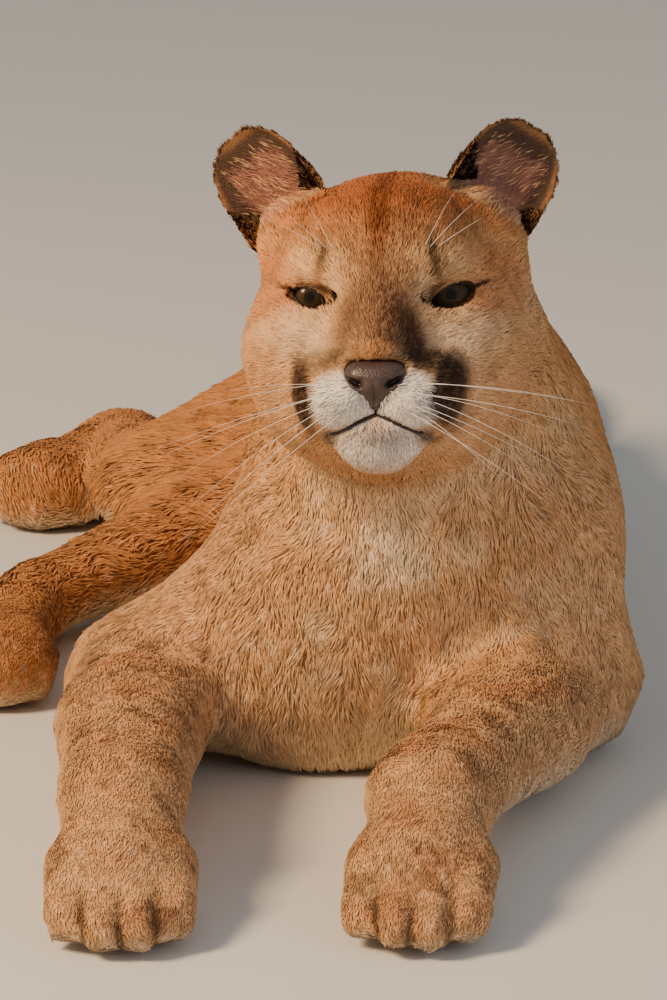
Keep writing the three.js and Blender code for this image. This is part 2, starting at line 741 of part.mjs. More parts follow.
// The nose: a broad pad that narrows down to the cleft of the lip, with a comma each side
const noseFlesh = together([
  ...both((s) => oval(face(9.5 * s, 56, -47), at(NOSE_WIDE / 2 - 9, 14, NOSE_TALL / 2 - 1), 6)),
  oval(face(0, 58, -48), at(14, 14, NOSE_TALL / 2), 6),
  limb(face(0, 62, -52), face(0, 62, -63), 6, 3.2, 5),
]);
const noseLines = [gridLines(-24, 4.8, 24), gridLines(-78, 5, -38), gridLines(-72, 4.6, -32)];
let nose = solid(netGeometry(noseFlesh, ...noseLines));
for (const s of [1, -1]) nose = nose.subtract(ball(face(7.6 * s, 71, -50.5), 3.4, 10, 8));
skullSolid = skullSolid.subtract(solid(netGeometry((p) => noseFlesh(p) - GAP * 2, ...noseLines)));

// The line of the mouth, laid on the flesh from corner to corner
function onFace(left, up) {
  const p = face(left, 96, up);
  for (let step = 0; step < 60; step++) {
    const off = skinOfHead(p);
    if (off < 0.05) break;
    p.y += off * 0.7;
  }
  return p;
}
const LIP_LINE = [
  [0, -68],
  [8, -71.5],
  [17, -76.5],
  [25, -79.5],
  [MOUTH_HALF, -79],
];
function groove(points, radius) {
  const path = new THREE.CatmullRomCurve3(points);
  const steps = points.length * 2;
  const rings = Array.from({ length: steps + 1 }, (_, r) => {
    const share = r / steps;
    const centre = path.getPoint(share);
    const along = path.getTangent(share);
    const deep = at(0, 1, 0).addScaledVector(along, -along.y).normalize();
    const high = along.clone().cross(deep);
    const thin = r === 0 || r === steps ? 0.35 : 1;
    return Array.from({ length: 6 }, (_, n) => {
      const turn = (n / 6) * 2 * Math.PI;
      return centre
        .clone()
        .addScaledVector(deep, 3 * radius * Math.cos(turn) * thin)
        .addScaledVector(high, radius * Math.sin(turn) * thin);
    });
  });
  return orient(ringsGeometry(rings));
}
const lipPoints = [
  ...LIP_LINE.slice(1).reverse().map(([left, up]) => onFace(-left, up)),
  ...LIP_LINE.map(([left, up]) => onFace(left, up)),
];
const cleftPoints = [-64, -66.5, -69].map((up) => onFace(0, up));
skullSolid = skullSolid.subtract(groove(lipPoints, 1.3)).subtract(groove(cleftPoints, 0.9));

// Ears: a cup of one thickness, its edges rolled in at the root and round at the top
const EAR_PROFILE = [
  // share of the height, half width, depth of the cup, each a share of the ear's half width
  [-0.12, 0.8, 0.6],
  [0, 0.92, 0.72],
  [0.16, 1.0, 0.78],
  [0.34, 1.03, 0.72],
  [0.52, 1.02, 0.58],
  [0.68, 0.96, 0.42],
  [0.82, 0.83, 0.28],
  [0.93, 0.6, 0.17],
  [1, 0.3, 0.08],
];
function earSolid(s, grow) {
  const root = face(50 * s, -46, 29);
  const up = face(s > 0 ? 0.46 : -0.54, -0.1, 0.86).normalize();
  const across = face(-0.85 * s, 0.42, 0);
  across.addScaledVector(up, -across.dot(up)).normalize();
  const back = up.clone().cross(across).normalize();
  if (back.y < 0) back.negate();
  const rings = EAR_PROFILE.map(([share, wide, deep], n) => {
    const past = n === 0 ? -grow : n === EAR_PROFILE.length - 1 ? grow : 0;
    const centre = root.clone().addScaledVector(up, share * EAR_TALL + past);
    const arc = (extra) =>
      Array.from({ length: 9 }, (_, n) => {
        const turn = THREE.MathUtils.degToRad(-84 + 21 * n);
        const half = (wide * EAR_WIDE) / 2 + extra;
        const depth = (deep * EAR_WIDE) / 2 + extra;
        return centre
          .clone()
          .addScaledVector(across, half * Math.sin(turn))
          .addScaledVector(back, depth * Math.cos(turn));
      });
    return [...arc(EAR_THICK / 2 + grow), ...arc(-EAR_THICK / 2 - grow).reverse()];
  });
  return orient(ringsGeometry(rings, true));
}
for (const s of [1, -1]) skullSolid = skullSolid.subtract(earSolid(s, GAP * 2));

const toWorld = (made) => made.transform(head.matrixWorld.elements);
put("head", ahead(toWorld(skullSolid), napeCut.point, napeCut.normal));
put("nose", toWorld(nose), DARK, 0.6);
for (const s of sides) {
  const way = s === "left" ? 1 : -1;
  put(`eye_${s}`, toWorld(ball(eyePlace(way), EYE_RADIUS)), 0x4a3a20, 0.15);
  put(`ear_${s}`, toWorld(earSolid(way, 0)), 0x8a6a52);
}

const cougar = new THREE.Group();
for (const [name, { geometry, colour, roughness }] of parts) {
  const mesh = new THREE.Mesh(
    geometry,
    new THREE.MeshStandardMaterial({ color: colour, roughness, metalness: 0 }),
  );
  mesh.name = name;
  cougar.add(mesh);
}

// The origin is the middle of the bounding box's underside.
const extent = new THREE.Box3().setFromObject(cougar);
const middleOfAll = extent.getCenter(new THREE.Vector3());
cougar.position.set(-middleOfAll.x, -middleOfAll.y, -extent.min.z);

export default cougar;
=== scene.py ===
import math

import bpy
import numpy as np
from mathutils import Matrix, Vector


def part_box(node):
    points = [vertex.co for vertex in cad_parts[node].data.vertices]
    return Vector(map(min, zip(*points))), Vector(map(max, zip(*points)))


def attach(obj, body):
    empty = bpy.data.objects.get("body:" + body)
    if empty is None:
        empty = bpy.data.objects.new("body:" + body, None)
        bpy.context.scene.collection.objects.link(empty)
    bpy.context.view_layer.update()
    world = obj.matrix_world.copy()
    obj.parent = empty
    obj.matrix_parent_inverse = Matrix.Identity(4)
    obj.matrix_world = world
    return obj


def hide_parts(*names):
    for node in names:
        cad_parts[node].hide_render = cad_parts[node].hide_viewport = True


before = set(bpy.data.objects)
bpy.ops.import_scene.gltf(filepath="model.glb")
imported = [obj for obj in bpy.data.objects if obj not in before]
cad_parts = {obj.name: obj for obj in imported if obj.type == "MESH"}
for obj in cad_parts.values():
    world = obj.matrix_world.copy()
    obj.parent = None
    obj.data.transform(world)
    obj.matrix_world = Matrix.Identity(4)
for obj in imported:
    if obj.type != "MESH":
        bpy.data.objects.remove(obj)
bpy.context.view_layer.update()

MM = 0.001
SIDES = {"left": 1, "right": -1}  # the animal's own sides, and which way each lies along x


def deselect():
    bpy.ops.object.select_all(action="DESELECT")


def new_object(name, data):
    made = bpy.data.objects.new(name, data)
    bpy.context.scene.collection.objects.link(made)
    return made


def select_only(piece):
    deselect()
    piece.select_set(True)
    bpy.context.view_layer.objects.active = piece


def edit_points(piece, operator, chosen=None, **settings):
    """Runs a mesh operator in edit mode, on the chosen points or else on all."""
    if chosen is None:
        chosen = np.ones(len(piece.data.vertices), bool)
    select_only(piece)
    bpy.ops.object.mode_set(mode="EDIT")
    bpy.ops.mesh.select_all(action="DESELECT")
    bpy.ops.object.mode_set(mode="OBJECT")
    piece.data.vertices.foreach_set("select", chosen)
    bpy.ops.object.mode_set(mode="EDIT")
    bpy.ops.mesh.select_mode(type="VERT")
    operator(**settings)
    bpy.ops.object.mode_set(mode="OBJECT")


def centre(node):
    low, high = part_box(node)
    return (low + high) / 2


def unit(v):
    return v / np.maximum(np.linalg.norm(v, axis=-1, keepdims=True), 1e-9)


def ramp(value, low, high):
    t = np.clip((value - low) / (high - low), 0, 1)
    return t * t * (3 - 2 * t)


def hump(away, half):
    return np.exp(-((away / half) ** 2))


def mix(first, second, share):
    return first * (1 - share[:, None]) + second * share[:, None]


# The head's own frame: from the point midway between the eyes, to its left, ahead and up
EYE_APART = 80
EYE_AHEAD = -2
EYE_RADIUS = 14
HEAD_PITCH = math.radians(-14)
HEAD_ROLL = math.radians(-2)
HEAD_YAW = math.radians(-5)
head_turn = (
    Matrix.Rotation(HEAD_YAW, 3, "Z")
    @ Matrix.Rotation(HEAD_PITCH, 3, "X")
    @ Matrix.Rotation(HEAD_ROLL, 3, "Y")
)
TURN = np.array(head_turn)
AHEAD = TURN @ np.array([0, -1, 0])
eyes_middle = (centre("eye_left") + centre("eye_right")) / 2
HEAD = np.array(eyes_middle) - AHEAD * EYE_AHEAD * MM

# The skeleton's points are written as in the part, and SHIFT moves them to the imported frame.
SKELETON_HEAD = np.array([28, -95, 303]) * MM
SHIFT = HEAD - SKELETON_HEAD


def on_head(left, ahead, up):
    """A place on the head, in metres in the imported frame."""
    return HEAD + TURN @ np.array([left, -ahead, up]) * MM


def in_head(points):
    """Points as (left, ahead, up) on the head, in millimetres."""
    local = (points - HEAD) @ TURN / MM
    return local * [1, -1, 1]


def folded(points):
    """Points on the head, with its right side folded over onto the left."""
    local = in_head(points)
    local[:, 0] = np.abs(local[:, 0])
    return local


def in_body(x, y, z):
    return np.array([x, y, z]) * MM + SHIFT


# The skeleton that the coat follows: bone ends, reach of the flesh round them, lie of the fur
NECK = [in_body(59, 34, 190), in_body(43, -14, 286)]
BRISKET = in_body(38, 0, 70)
WITHERS = in_body(55, 110, 190)
CROUP = in_body(54, 600, 76)
DOCK = in_body(42, 705, 58)
ELBOW = {"left": in_body(145, 8, 41), "right": in_body(-118, 14, 41)}
SHOULDER = {"left": in_body(118, -4, 140), "right": in_body(-10, -6, 112)}
WRIST = {"left": in_body(56, -240, 50), "right": in_body(-118, -242, 50)}
HEADING = {"left": np.array([-0.1, -1, 0]), "right": np.array([0.02, -1, 0])}
HIP = {"right": in_body(22, 606, 80), "left": in_body(44, 596, 46)}
KNEE = {"right": in_body(-118, 425, 50), "left": in_body(-85, 350, 42)}
HOCK = {"right": in_body(-150, 640, 30), "left": in_body(-196, 225, 28)}
BALL = {"right": in_body(-196, 538, 25), "left": in_body(-210, 118, 25)}
TOE_WAY = {"right": np.array([-0.3, -0.95, 0]), "left": np.array([-0.08, -1, 0])}
TAIL = [
    in_body(*point)
    for point in [
        (42, 705, 58), (30, 775, 32), (30, 850, 22), (62, 915, 19.5), (118, 925, 19),
        (158, 875, 19), (170, 800, 18.5), (168, 725, 18), (162, 665, 16.5),
    ]
]
PAW_WIDE = 81 * MM
PAW_LONG = 150 * MM
TOE_SHARES = [-0.375, -0.13, 0.13, 0.375]
TOE_GAPS = [(one + next_one) / 2 for one, next_one in zip(TOE_SHARES, TOE_SHARES[1:])]
FORELEG = ("paw", "forearm", "upper_arm")
HIND_LEG = ("thigh", "shank", "hind_foot")
LENGTH_FADE = 3
LENGTHS = []  # name, from, to, reach of the flesh, lie of the fur there


def length_of(name, start, end, reach, lie=None):
    lie = end - start if lie is None else np.array(lie)
    LENGTHS.append((name, start, end, reach * MM, unit(lie)))


length_of("neck", NECK[1], NECK[0], 84, (0, 0.55, -1))
length_of("chest", NECK[0], BRISKET, 98, (0, 0.25, -1))
length_of("back", WITHERS, CROUP, 100, (0, 1, -0.25))
length_of("back", CROUP, DOCK, 66, (0, 1, -0.4))
for side, way in SIDES.items():
    length_of("upper_arm", SHOULDER[side], ELBOW[side], 58, (way * 0.3, 0.2, -1))
    length_of("forearm", ELBOW[side], WRIST[side], 43, (0, -1, -0.2))
    length_of("paw", WRIST[side], WRIST[side] + unit(HEADING[side]) * PAW_LONG, 40, (0, -1, -0.6))
    length_of("thigh", HIP[side], KNEE[side], 62, (-0.8, 0.1, -0.3))
    length_of("shank", KNEE[side], HOCK[side], 40)
    length_of("hind_foot", HOCK[side], BALL[side] + unit(TOE_WAY[side]) * 62 * MM, 34, (0, -1, -0.6))
for start, end in zip(TAIL, TAIL[1:]):
    length_of("tail", start, end, 24)


def off_length(points, start, end):
    """How far along a length each point stands, as a share of it, and its way off the length."""
    along = end - start
    share = (points - start) @ along / (along @ along)
    return share, points - start - np.clip(share, 0, 1)[:, None] * along


def near_lengths(points):
    """For each point, its share in each named length of the body, and the lie of its fur."""
    weights = []
    for _, start, end, reach, _ in LENGTHS:
        _, off = off_length(points, start, end)
        weights.append(np.exp(-LENGTH_FADE * (np.linalg.norm(off, axis=1) / reach) ** 2))
    weights = np.array(weights)
    weights /= weights.sum(0) + 1e-12
    shares = {name: np.zeros(len(points)) for name, *_ in LENGTHS}
    for (name, *_), weight in zip(LENGTHS, weights):
        shares[name] += weight
    return shares, weights.T @ np.array([lie for *_, lie in LENGTHS])


def limb_share(shares, limb):
    return sum(shares[name] for name in limb)


EAR_ROOT = (50, -46, 29)
EAR_LEAN = {1: 0.46, -1: -0.54}
EAR_TALL = 80
EAR_HALF = 32
EAR_LEVELS = [0, 0.16, 0.34, 0.52, 0.68, 0.82, 0.93, 1]
EAR_WIDTHS = [0.92, 1, 1.03, 1.02, 0.96, 0.83, 0.6, 0.3]


def ear_axes(way):
    """The ear's root and its across (inwards), back and up axes. way is 1 on the left."""
    root = on_head(EAR_ROOT[0] * way, *EAR_ROOT[1:])
    up = unit(np.array([EAR_LEAN[way], 0.1, 0.86]))
    across = np.array([-0.85 * way, -0.42, 0])
    across = unit(across - up * (across @ up))
    back = unit(np.cross(up, across))
    back = back if back[1] > 0 else -back
    return root, TURN @ across, TURN @ back, TURN @ up


def in_ear(points, way):
    """Points as (inwards, back, up) from the ear's root, in millimetres."""
    root, across, back, up = ear_axes(way)
    away = (points - root) / MM
    return np.stack([away @ across, away @ back, away @ up], axis=1)


def ear_part(points, normals):
    """For each point its share in an ear, in the cup's inside, in its rim, and its height there."""
    share, inside, rim, height = np.zeros((4, len(points)))
    for way in SIDES.values():
        inwards, behind, up = in_ear(points, way).T
        on = ramp(up, 14, 24) * (1 - ramp(np.abs(inwards), 38, 48))
        on = on * (1 - ramp(np.abs(behind) - 0.35 * up, 14, 26))
        facing = -normals @ ear_axes(way)[2]
        half = EAR_HALF * np.interp(up / EAR_TALL, EAR_LEVELS, EAR_WIDTHS)
        border = np.maximum(ramp(np.abs(inwards) / half, 0.5, 0.98), ramp(up, 54, 78))
        share = np.maximum(share, on)
        inside += on * ramp(facing, 0.0, 0.35)
        rim += on * border
        height += on * up
    return share, np.clip(inside, 0, 1), np.clip(rim, 0, 1), height


RIPPLE_WAVES = 14


def ripple(points, size, seed):
    """Smooth noise of about -1 to 1, its features about size millimetres across."""
    draw = np.random.default_rng(seed)
    ways = unit(draw.normal(size=(RIPPLE_WAVES, 3))) * 2 * math.pi / (size * MM)
    ways = ways * draw.uniform(0.55, 1.5, (RIPPLE_WAVES, 1))
    phases = draw.uniform(0, 2 * math.pi, RIPPLE_WAVES)
    return np.sin(points @ ways.T + phases).sum(1) / math.sqrt(RIPPLE_WAVES) * 1.1


# Colours are sRGB hex values, turned to linear here and nowhere else.
def linear(hex_colour):
    parts = np.array([int(hex_colour[i : i + 2], 16) for i in (1, 3, 5)]) / 255
    return np.where(parts <= 0.04045, parts / 12.92, ((parts + 0.055) / 1.055) ** 2.4)


TAWNY = linear("#C78E58")
GOLD = linear("#D2A172")
RUST = linear("#BC6833")
SAND = linear("#DEB07C")
CREAM = linear("#E6CDA8")
WHITE = linear("#F1E4D4")
BROWN = linear("#684632")
DARK = linear("#2C1D17")
STREAK = linear("#78401E")
EAR_DARK = linear("#5A4639")
EAR_SKIN = linear("#AA7765")
IRIS = linear("#42341F")
IRIS_EDGE = linear("#231A10")
PUPIL = linear("#080605")
EYE_MARGIN = linear("#1A120E")
LEATHER = linear("#513E39")
NOSTRIL_SHADE = linear("#120B09")
# Painted shade for the nostrils, their wings' slits and the nose's middle groove
LEATHER_LOW = linear("#4A3A38")


def blot(local, left, up, wide, tall, soft=0.35, turn=0.0):
    """How much each point, seen from the head's front, lies in an oval patch."""
    across = local[:, 0] - left
    above = local[:, 2] - up
    c, s = math.cos(turn), math.sin(turn)
    x = (across * c + above * s) / wide
    y = (-across * s + above * c) / tall
    return 1 - ramp(np.hypot(x, y), 1 - soft, 1 + soft)


# Patches of the face, in order: colour, then middle (aside, up), half width, half height, softness
# of the edge, turn, how much specks break it, and its strength on the head's right and left sides
FACE_MARKS = [
    (RUST, 62, 6, 17, 20, 0.4, 0, 0.2, 0.6, 0.5),
    (STREAK, 0, 46, 6.5, 33, 0.6, 0, 0.35, 1, 1),
    (BROWN, 15, 34, 9, 24, 0.7, 0, 0.8, 0.55, 0.6),
    (BROWN, 40, 44, 14, 14, 0.8, 0, 0.7, 0.35, 0.5),
    (SAND, 36, 17, 17, 8, 0.6, -0.2, 0.2, 0.8, 0.7),
    (DARK, 30.5, 19, 3.4, 12, 0.8, 0.16, 0.2, 0.85, 0.95),
    (CREAM, 24, 1, 4, 8, 0.7, 0, 0.2, 0.3, 0.3),
    (CREAM, 41, -26, 21, 12, 0.8, 0.2, 0.3, 0.5, 0.5),
    # The bridge and the nose's sides: real brown and dark markings, painted stronger on the head's
    # left, which lies away from the key light, so that they carry painted shade too.
    (BROWN, 0, -14, 18, 33, 0.5, 0, 0.25, 0.8, 1),
    (BROWN, 19, -24, 6, 21, 0.5, 0.3, 0.2, 0.65, 1),
    (DARK, 19, -27, 5, 16, 0.8, 0.3, 0.3, 0.1, 0.65),
    (DARK, 22, -37, 12, 5, 0.7, -0.45, 0.3, 0.55, 0.85),
    (TAWNY, 0, -33, 10, 4, 0.6, 0, 0.2, 0.85, 0.7),
    (WHITE, 17, -61, 19, 16, 0.25, 0, 0, 1, 1),
    (DARK, 41, -56, 6.5, 22, 0.4, -0.12, 0.15, 1, 0),
    (DARK, 39.5, -55, 10, 21, 0.3, -0.12, 0.1, 0, 0.98),
    (DARK, 33, -38, 8, 6, 0.5, -0.5, 0.3, 0.55, 0.9),
    (WHITE, 0, -87, 29, 12, 0.55, 0, 0, 0.95, 0.95),
    (DARK, 0, -80, 13, 5, 0.8, 0, 0.2, 0.6, 0.6),
    (DARK, 27, -80.5, 5, 3.4, 0.6, 0, 0.2, 0.8, 0.8),
    # Painted shadow: brown under the chin, where the jaw shades the throat.
    (BROWN, 0, -108, 34, 7, 0.7, 0, 0.4, 0.3, 0.4),
]


def blend_in(colours, *layers):
    """Colours with the colour of each layer in turn blended in by its amounts."""
    for colour, amount in layers:
        colours = colours + (colour - colours) * np.clip(amount, 0, 1)[:, None]
    return colours


def head_share(points):
    """1 on the head, 0 on the body, turning over at the top of the neck."""
    local = in_head(points)
    back = -local[:, 1] * 0.75 - local[:, 2] * 0.5
    far = np.linalg.norm(local, axis=1)
    return (1 - ramp(back, 66, 104)) * (1 - ramp(far, 150, 190))


CHEST_PATCH = in_body(34, -92, 150)
CHEST_PATCH_RADII = [30, 60, 26]


def body_colours(points, normals, fleck):
    shares, _ = near_lengths(points)
    foreleg = limb_share(shares, FORELEG)
    below = ramp(-normals[:, 2], -0.1, 0.8)
    above = ramp(normals[:, 2], 0.1, 0.9)
    front = ramp(-normals[:, 1], 0.1, 0.8)
    patch = ripple(points, 42, 2)
    smudge = ramp(ripple(points, 34, 8) + fleck * 0.3, 0.5, 1.5)
    from_patch = np.linalg.norm((points - CHEST_PATCH) / MM / CHEST_PATCH_RADII, axis=1)
    tail_tip = 1 - ramp(np.linalg.norm(points - TAIL[-1], axis=1) / MM, 90, 160)
    return blend_in(
        TAWNY,
        (RUST, above * shares["back"] * 0.45),
        (RUST, limb_share(shares, HIND_LEG) * 0.3),
        (SAND, front * (shares["chest"] + shares["neck"]) * 0.75),
        (GOLD, foreleg * 0.85),
        (RUST, foreleg * above * ramp(patch, -0.6, 1.4) * 0.3),
        (CREAM, below * 0.8),
        # Brown over the neck: partly the fur's own flecks, partly painted shade below the jaw.
        (BROWN, shares["neck"] * ramp(fleck, -0.4, 1.2) * 0.3),
        (CREAM, (1 - ramp(from_patch, 0.3, 1.3)) * 0.8),
        (CREAM, front * shares["chest"] * ramp(patch, 0.1, 1.2) * 0.4),
        (BROWN, ramp(fleck, 0.2, 1.6) * 0.34 * (1 - below)),
        (CREAM, ramp(-fleck, 0.4, 1.7) * 0.3 * front),
        (BROWN, ramp(patch + fleck * 0.6, 0.9, 2.2) * 0.3 * above),
        (BROWN, smudge * foreleg * above * 0.55),
        (DARK, shares["tail"] * tail_tip * 0.85),
        # Painted shade: the grooves between the toes painted dark.
        *((DARK, toe_groove(points, side, 0.03) * 0.75) for side in SIDES),
    )


def eye_lines(points, way):
    """Layers of dark: the lids' edge, the line behind the outer corner, the inner corner's spot."""
    across, ahead, up = in_eye(points, way).T
    low, high = lid_edge(across, way)
    past = across - OPEN_WIDE[way] / 2
    end = np.maximum(np.abs(across) - OPEN_WIDE[way] / 2, 0)
    level = np.where(up > (low + high) / 2, up - high, low - up)
    near = np.hypot(np.maximum(level, 0), end * 0.8)
    rim = (1 - ramp(near, 0.3, 1.3)) * (np.abs(across) < 22)
    line = (1 - ramp(np.abs(up - 0.6 + past * 0.12), 0.6, 2.2)) * ramp(past, -2, 1)
    line = line * (1 - ramp(past, 4, 12))
    from_duct = np.hypot((past + OPEN_WIDE[way] + 1.6) / 2.2, (up + 2.4) / 2.8)
    duct = 1 - ramp(from_duct, 0.5, 1.3)
    return [(DARK, shade * (ahead > 0)) for shade in (rim * 0.95, line * 0.95, duct * 0.85)]


def face_colours(points, fleck):
    local = folded(points)
    wide, ahead, up = local.T
    on_left = ramp(in_head(points)[:, 0], -5, 5)
    speck = ramp(ripple(points, 4.5, 3), -0.5, 0.7)
    marks = []
    for colour, across, height, broad, tall, soft, turn, broken, right_much, left_much in FACE_MARKS:
        much = right_much + (left_much - right_much) * on_left
        mark = blot(local, across, height, broad, tall, soft, turn) * (1 - broken * speck)
        if colour is WHITE:
            mark = mark * ramp(ahead, 25, 45)
        marks.append((colour, mark * much))
    whisker_rows = ramp(np.abs((up + 52 + 0.12 * wide) / 6.3 % 1 - 0.5), 0.3, 0.46)
    spots = whisker_rows * blot(local, 27, -63, 9, 11, 0.5) * ramp(fleck, -0.6, 0.6)
    return blend_in(
        GOLD,
        (TAWNY, ramp(up, -6, 30) * 0.75),
        (RUST, ramp(up, 20, 56) * 0.9),
        (TAWNY, ramp(wide, 44, 84) * ramp(-up, -10, 40) * 0.6),
        (SAND, ramp(-up, 80, 108) * 0.6),
        *marks,
        (DARK, spots * 0.5),
        (BROWN, ramp(fleck, 0.4, 1.5) * 0.3 * ramp(up, -70, -20)),
        *eye_lines(points, 1),
        *eye_lines(points, -1),
    )


def ear_colours(points, normals, fleck):
    """Each point's share in an ear, and the ears' colours."""
    ear, inside, rim, high = ear_part(points, normals)
    outer = blend_in(
        EAR_DARK,
        (TAWNY, 1 - ramp(high, 16, 44)),
        (TAWNY, ramp(rim, 0.6, 1.0) * 0.45),
    )
    cup = blend_in(
        EAR_SKIN,
        (EAR_DARK, ramp(high + fleck * 6, 48, 80) * 0.6),
        (EAR_DARK, ramp(rim, 0.0, 0.4) * 0.9),
        (SAND, (1 - ramp(high, 18, 36)) * ramp(fleck, -1, 0.6) * 0.85),
        (TAWNY, ramp(rim, 0.85, 1.0) * 0.5),
    )
    return ear, mix(outer, cup, inside)


def coat_colours(points, normals):
    """The markings: one rule for the skins and for every tuft that grows from them."""
    fleck = ripple(points, 9, 1)
    ear, ears = ear_colours(points, normals, fleck)
    face = mix(face_colours(points, fleck), ears, ear)
    return mix(body_colours(points, normals, fleck), face, head_share(points))


# Skins: copies of the flesh, fused, smoothed and drawn in by the coat's depth
FLESH = [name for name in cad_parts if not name.startswith(("eye", "nose", "ear"))]
FACE_PARTS = ["head", "neck", "nose", "eye_left", "eye_right", "ear_left", "ear_right"]
SEAM = on_head(0, -46, -46)
SEAM_WAY = unit(np.array([-0.1, -0.74, 0.67]))
SEAM_OVERLAP = 7 * MM
HEAD_REACH = 230 * MM
BODY_VOXEL = 4.3
FACE_VOXEL = 1.5
NOSE_VOXEL = 0.75
WEIGHT_STEPS = 50
UNDER_FACE = 1.6  # how far the body's skin dips under the head's at the seam
FLOOR_GAP = 0.4


def seam_distance(points):
    """How far ahead of the seam between the two skins each point stands, in metres."""
    return (points - SEAM) @ SEAM_WAY


def past_seam(points, margin):
    """Whether each point lies on the head, past the seam by more than a margin."""
    return (seam_distance(points) > margin) & (np.linalg.norm(points - HEAD, axis=1) < HEAD_REACH)


def apply_modifier(piece, kind, **settings):
    select_only(piece)
    modifier = piece.modifiers.new(kind.lower(), kind)
    for key, value in settings.items():
        setattr(modifier, key, value)
    bpy.ops.object.modifier_apply(modifier=modifier.name)


def fused_copy(name, nodes, voxel):
    """One mesh object of copies of CAD nodes, fused into one closed surface."""
    deselect()
    copies = []
    for node_name in nodes:
        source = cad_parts[node_name]
        copy = new_object(name, source.data.copy())
        copy.matrix_world = source.matrix_world
        copies.append(copy)
    for copy in copies:
        copy.select_set(True)
    piece = copies[0]
    bpy.context.view_layer.objects.active = piece
    bpy.ops.object.join()
    piece.name = name
    piece.data.name = name
    piece.data.materials.clear()
    edit_points(piece, bpy.ops.mesh.remove_doubles, threshold=1e-6)
    apply_modifier(piece, "REMESH", mode="VOXEL", voxel_size=voxel * MM, adaptivity=0)
    return piece


def mesh_points(piece):
    points = np.empty(len(piece.data.vertices) * 3)
    piece.data.vertices.foreach_get("co", points)
    return points.reshape(-1, 3)


def set_points(piece, points):
    piece.data.vertices.foreach_set("co", points.ravel())
    piece.data.update()


def mesh_normals(piece):
    normals = np.empty(len(piece.data.vertices) * 3, np.float32)
    piece.data.vertex_normals.foreach_get("vector", normals)
    return normals.reshape(-1, 3).astype(float)


def smooth(piece, rounds, weights):
    """Smooths a piece, less where its points' weights are low; they are kept in small steps."""
    group = piece.vertex_groups.new(name="smooth_most")
    steps = np.round(np.clip(weights, 0, 1) * WEIGHT_STEPS).astype(int)
    for step in range(1, WEIGHT_STEPS + 1):
        chosen = np.flatnonzero(steps == step)
        if len(chosen):
            group.add(chosen.tolist(), step / WEIGHT_STEPS, "REPLACE")
    apply_modifier(piece, "SMOOTH", factor=0.6, iterations=rounds, vertex_group=group.name)


def shade_smooth(piece):
    piece.data.polygons.foreach_set("use_smooth", np.ones(len(piece.data.polygons), bool))
    piece.data.update()


def paint(piece, colours):
    layer = piece.data.color_attributes.new("coat_colour", "FLOAT_COLOR", "POINT")
    rgba = np.concatenate([colours, np.ones((len(colours), 1))], axis=1)
    layer.data.foreach_set("color", rgba.ravel().astype(np.float32))


def coat_depth(points):
    """How deep the skin lies below the coat's outline, in metres."""
    shares, _ = near_lengths(points)
    body = 4 - 2.2 * shares["paw"] - 1.5 * shares["hind_foot"] + 1.5 * shares["chest"] + shares["neck"]
    face = 3.5 - 2.3 * ramp(in_head(points)[:, 1], 0, 40)
    head = head_share(points)
    return (body * (1 - head) + face * head) * MM


def in_paw(points, side):
    """Points as shares of a forepaw: ahead of the wrist, and aside of its middle."""
    along = unit(HEADING[side])
    across = np.array([-along[1], along[0], 0])
    away = points - WRIST[side]
    return away @ along / PAW_LONG, away @ across / PAW_WIDE


def on_paws(points):
    on = np.zeros(len(points), bool)
    for side in SIDES:
        ahead, aside = in_paw(points, side)
        on |= (ahead > 0.25) & (ahead < 1.2) & (np.abs(aside) < 0.75)
    return on


TOE_START = 0.7  # where the toes part, as a share of the paw's length
TOE_END = 1.15
OUTER_TOES_BACK = 0.06
TOE_HALF = 0.09
TOE_HIGH = 1.2
TOE_GROOVE_HALF = 0.045
TOE_GROOVE_DEEP = 2.4


def toe_groove(points, side, wide):
    """1 in the grooves between the toes of a forepaw; wide is a share of the paw's width."""
    ahead, aside = in_paw(points, side)
    near = np.min([np.abs(aside - gap) for gap in TOE_GAPS], axis=0)
    start = TOE_START - OUTER_TOES_BACK * (np.abs(aside) > 0.12)
    inside = ramp(ahead, start, start + 0.2) * (ahead < TOE_END) * (np.abs(aside) < 0.5)
    return inside * hump(near, wide)


def toe_swell(points, side):
    """1 on the middle of each toe of a forepaw."""
    ahead, aside = in_paw(points, side)
    near = np.min([np.abs(aside - toe) for toe in TOE_SHARES], axis=0)
    inside = ramp(ahead, TOE_START, 0.88) * (ahead < TOE_END) * (np.abs(aside) < 0.55)
    return inside * hump(near, TOE_HALF)


def make_body_skin():
    skin = fused_copy("skin", FLESH, BODY_VOXEL)
    edit_points(skin, bpy.ops.mesh.subdivide, on_paws(mesh_points(skin)), number_cuts=1)
    shares, _ = near_lengths(mesh_points(skin))
    smooth(skin, 26, 1 - 0.5 * (shares["paw"] + shares["hind_foot"]))
    points = mesh_points(skin)
    hidden = ramp(seam_distance(points), -4 * MM, 6 * MM)
    sunk = coat_depth(points) + hidden * UNDER_FACE * MM
    clear = ramp(points[:, 2], 4 * MM, 18 * MM)
    for side in SIDES:
        groove = toe_groove(points, side, TOE_GROOVE_HALF) * TOE_GROOVE_DEEP
        sunk += (groove - toe_swell(points, side) * TOE_HIGH) * clear * MM
    points = points - mesh_normals(skin) * sunk[:, None]
    points[:, 2] = np.maximum(points[:, 2], FLOOR_GAP * MM)
    set_points(skin, points)
    edit_points(skin, bpy.ops.mesh.delete, past_seam(points, SEAM_OVERLAP), type="VERT")
    shade_smooth(skin)
    return skin


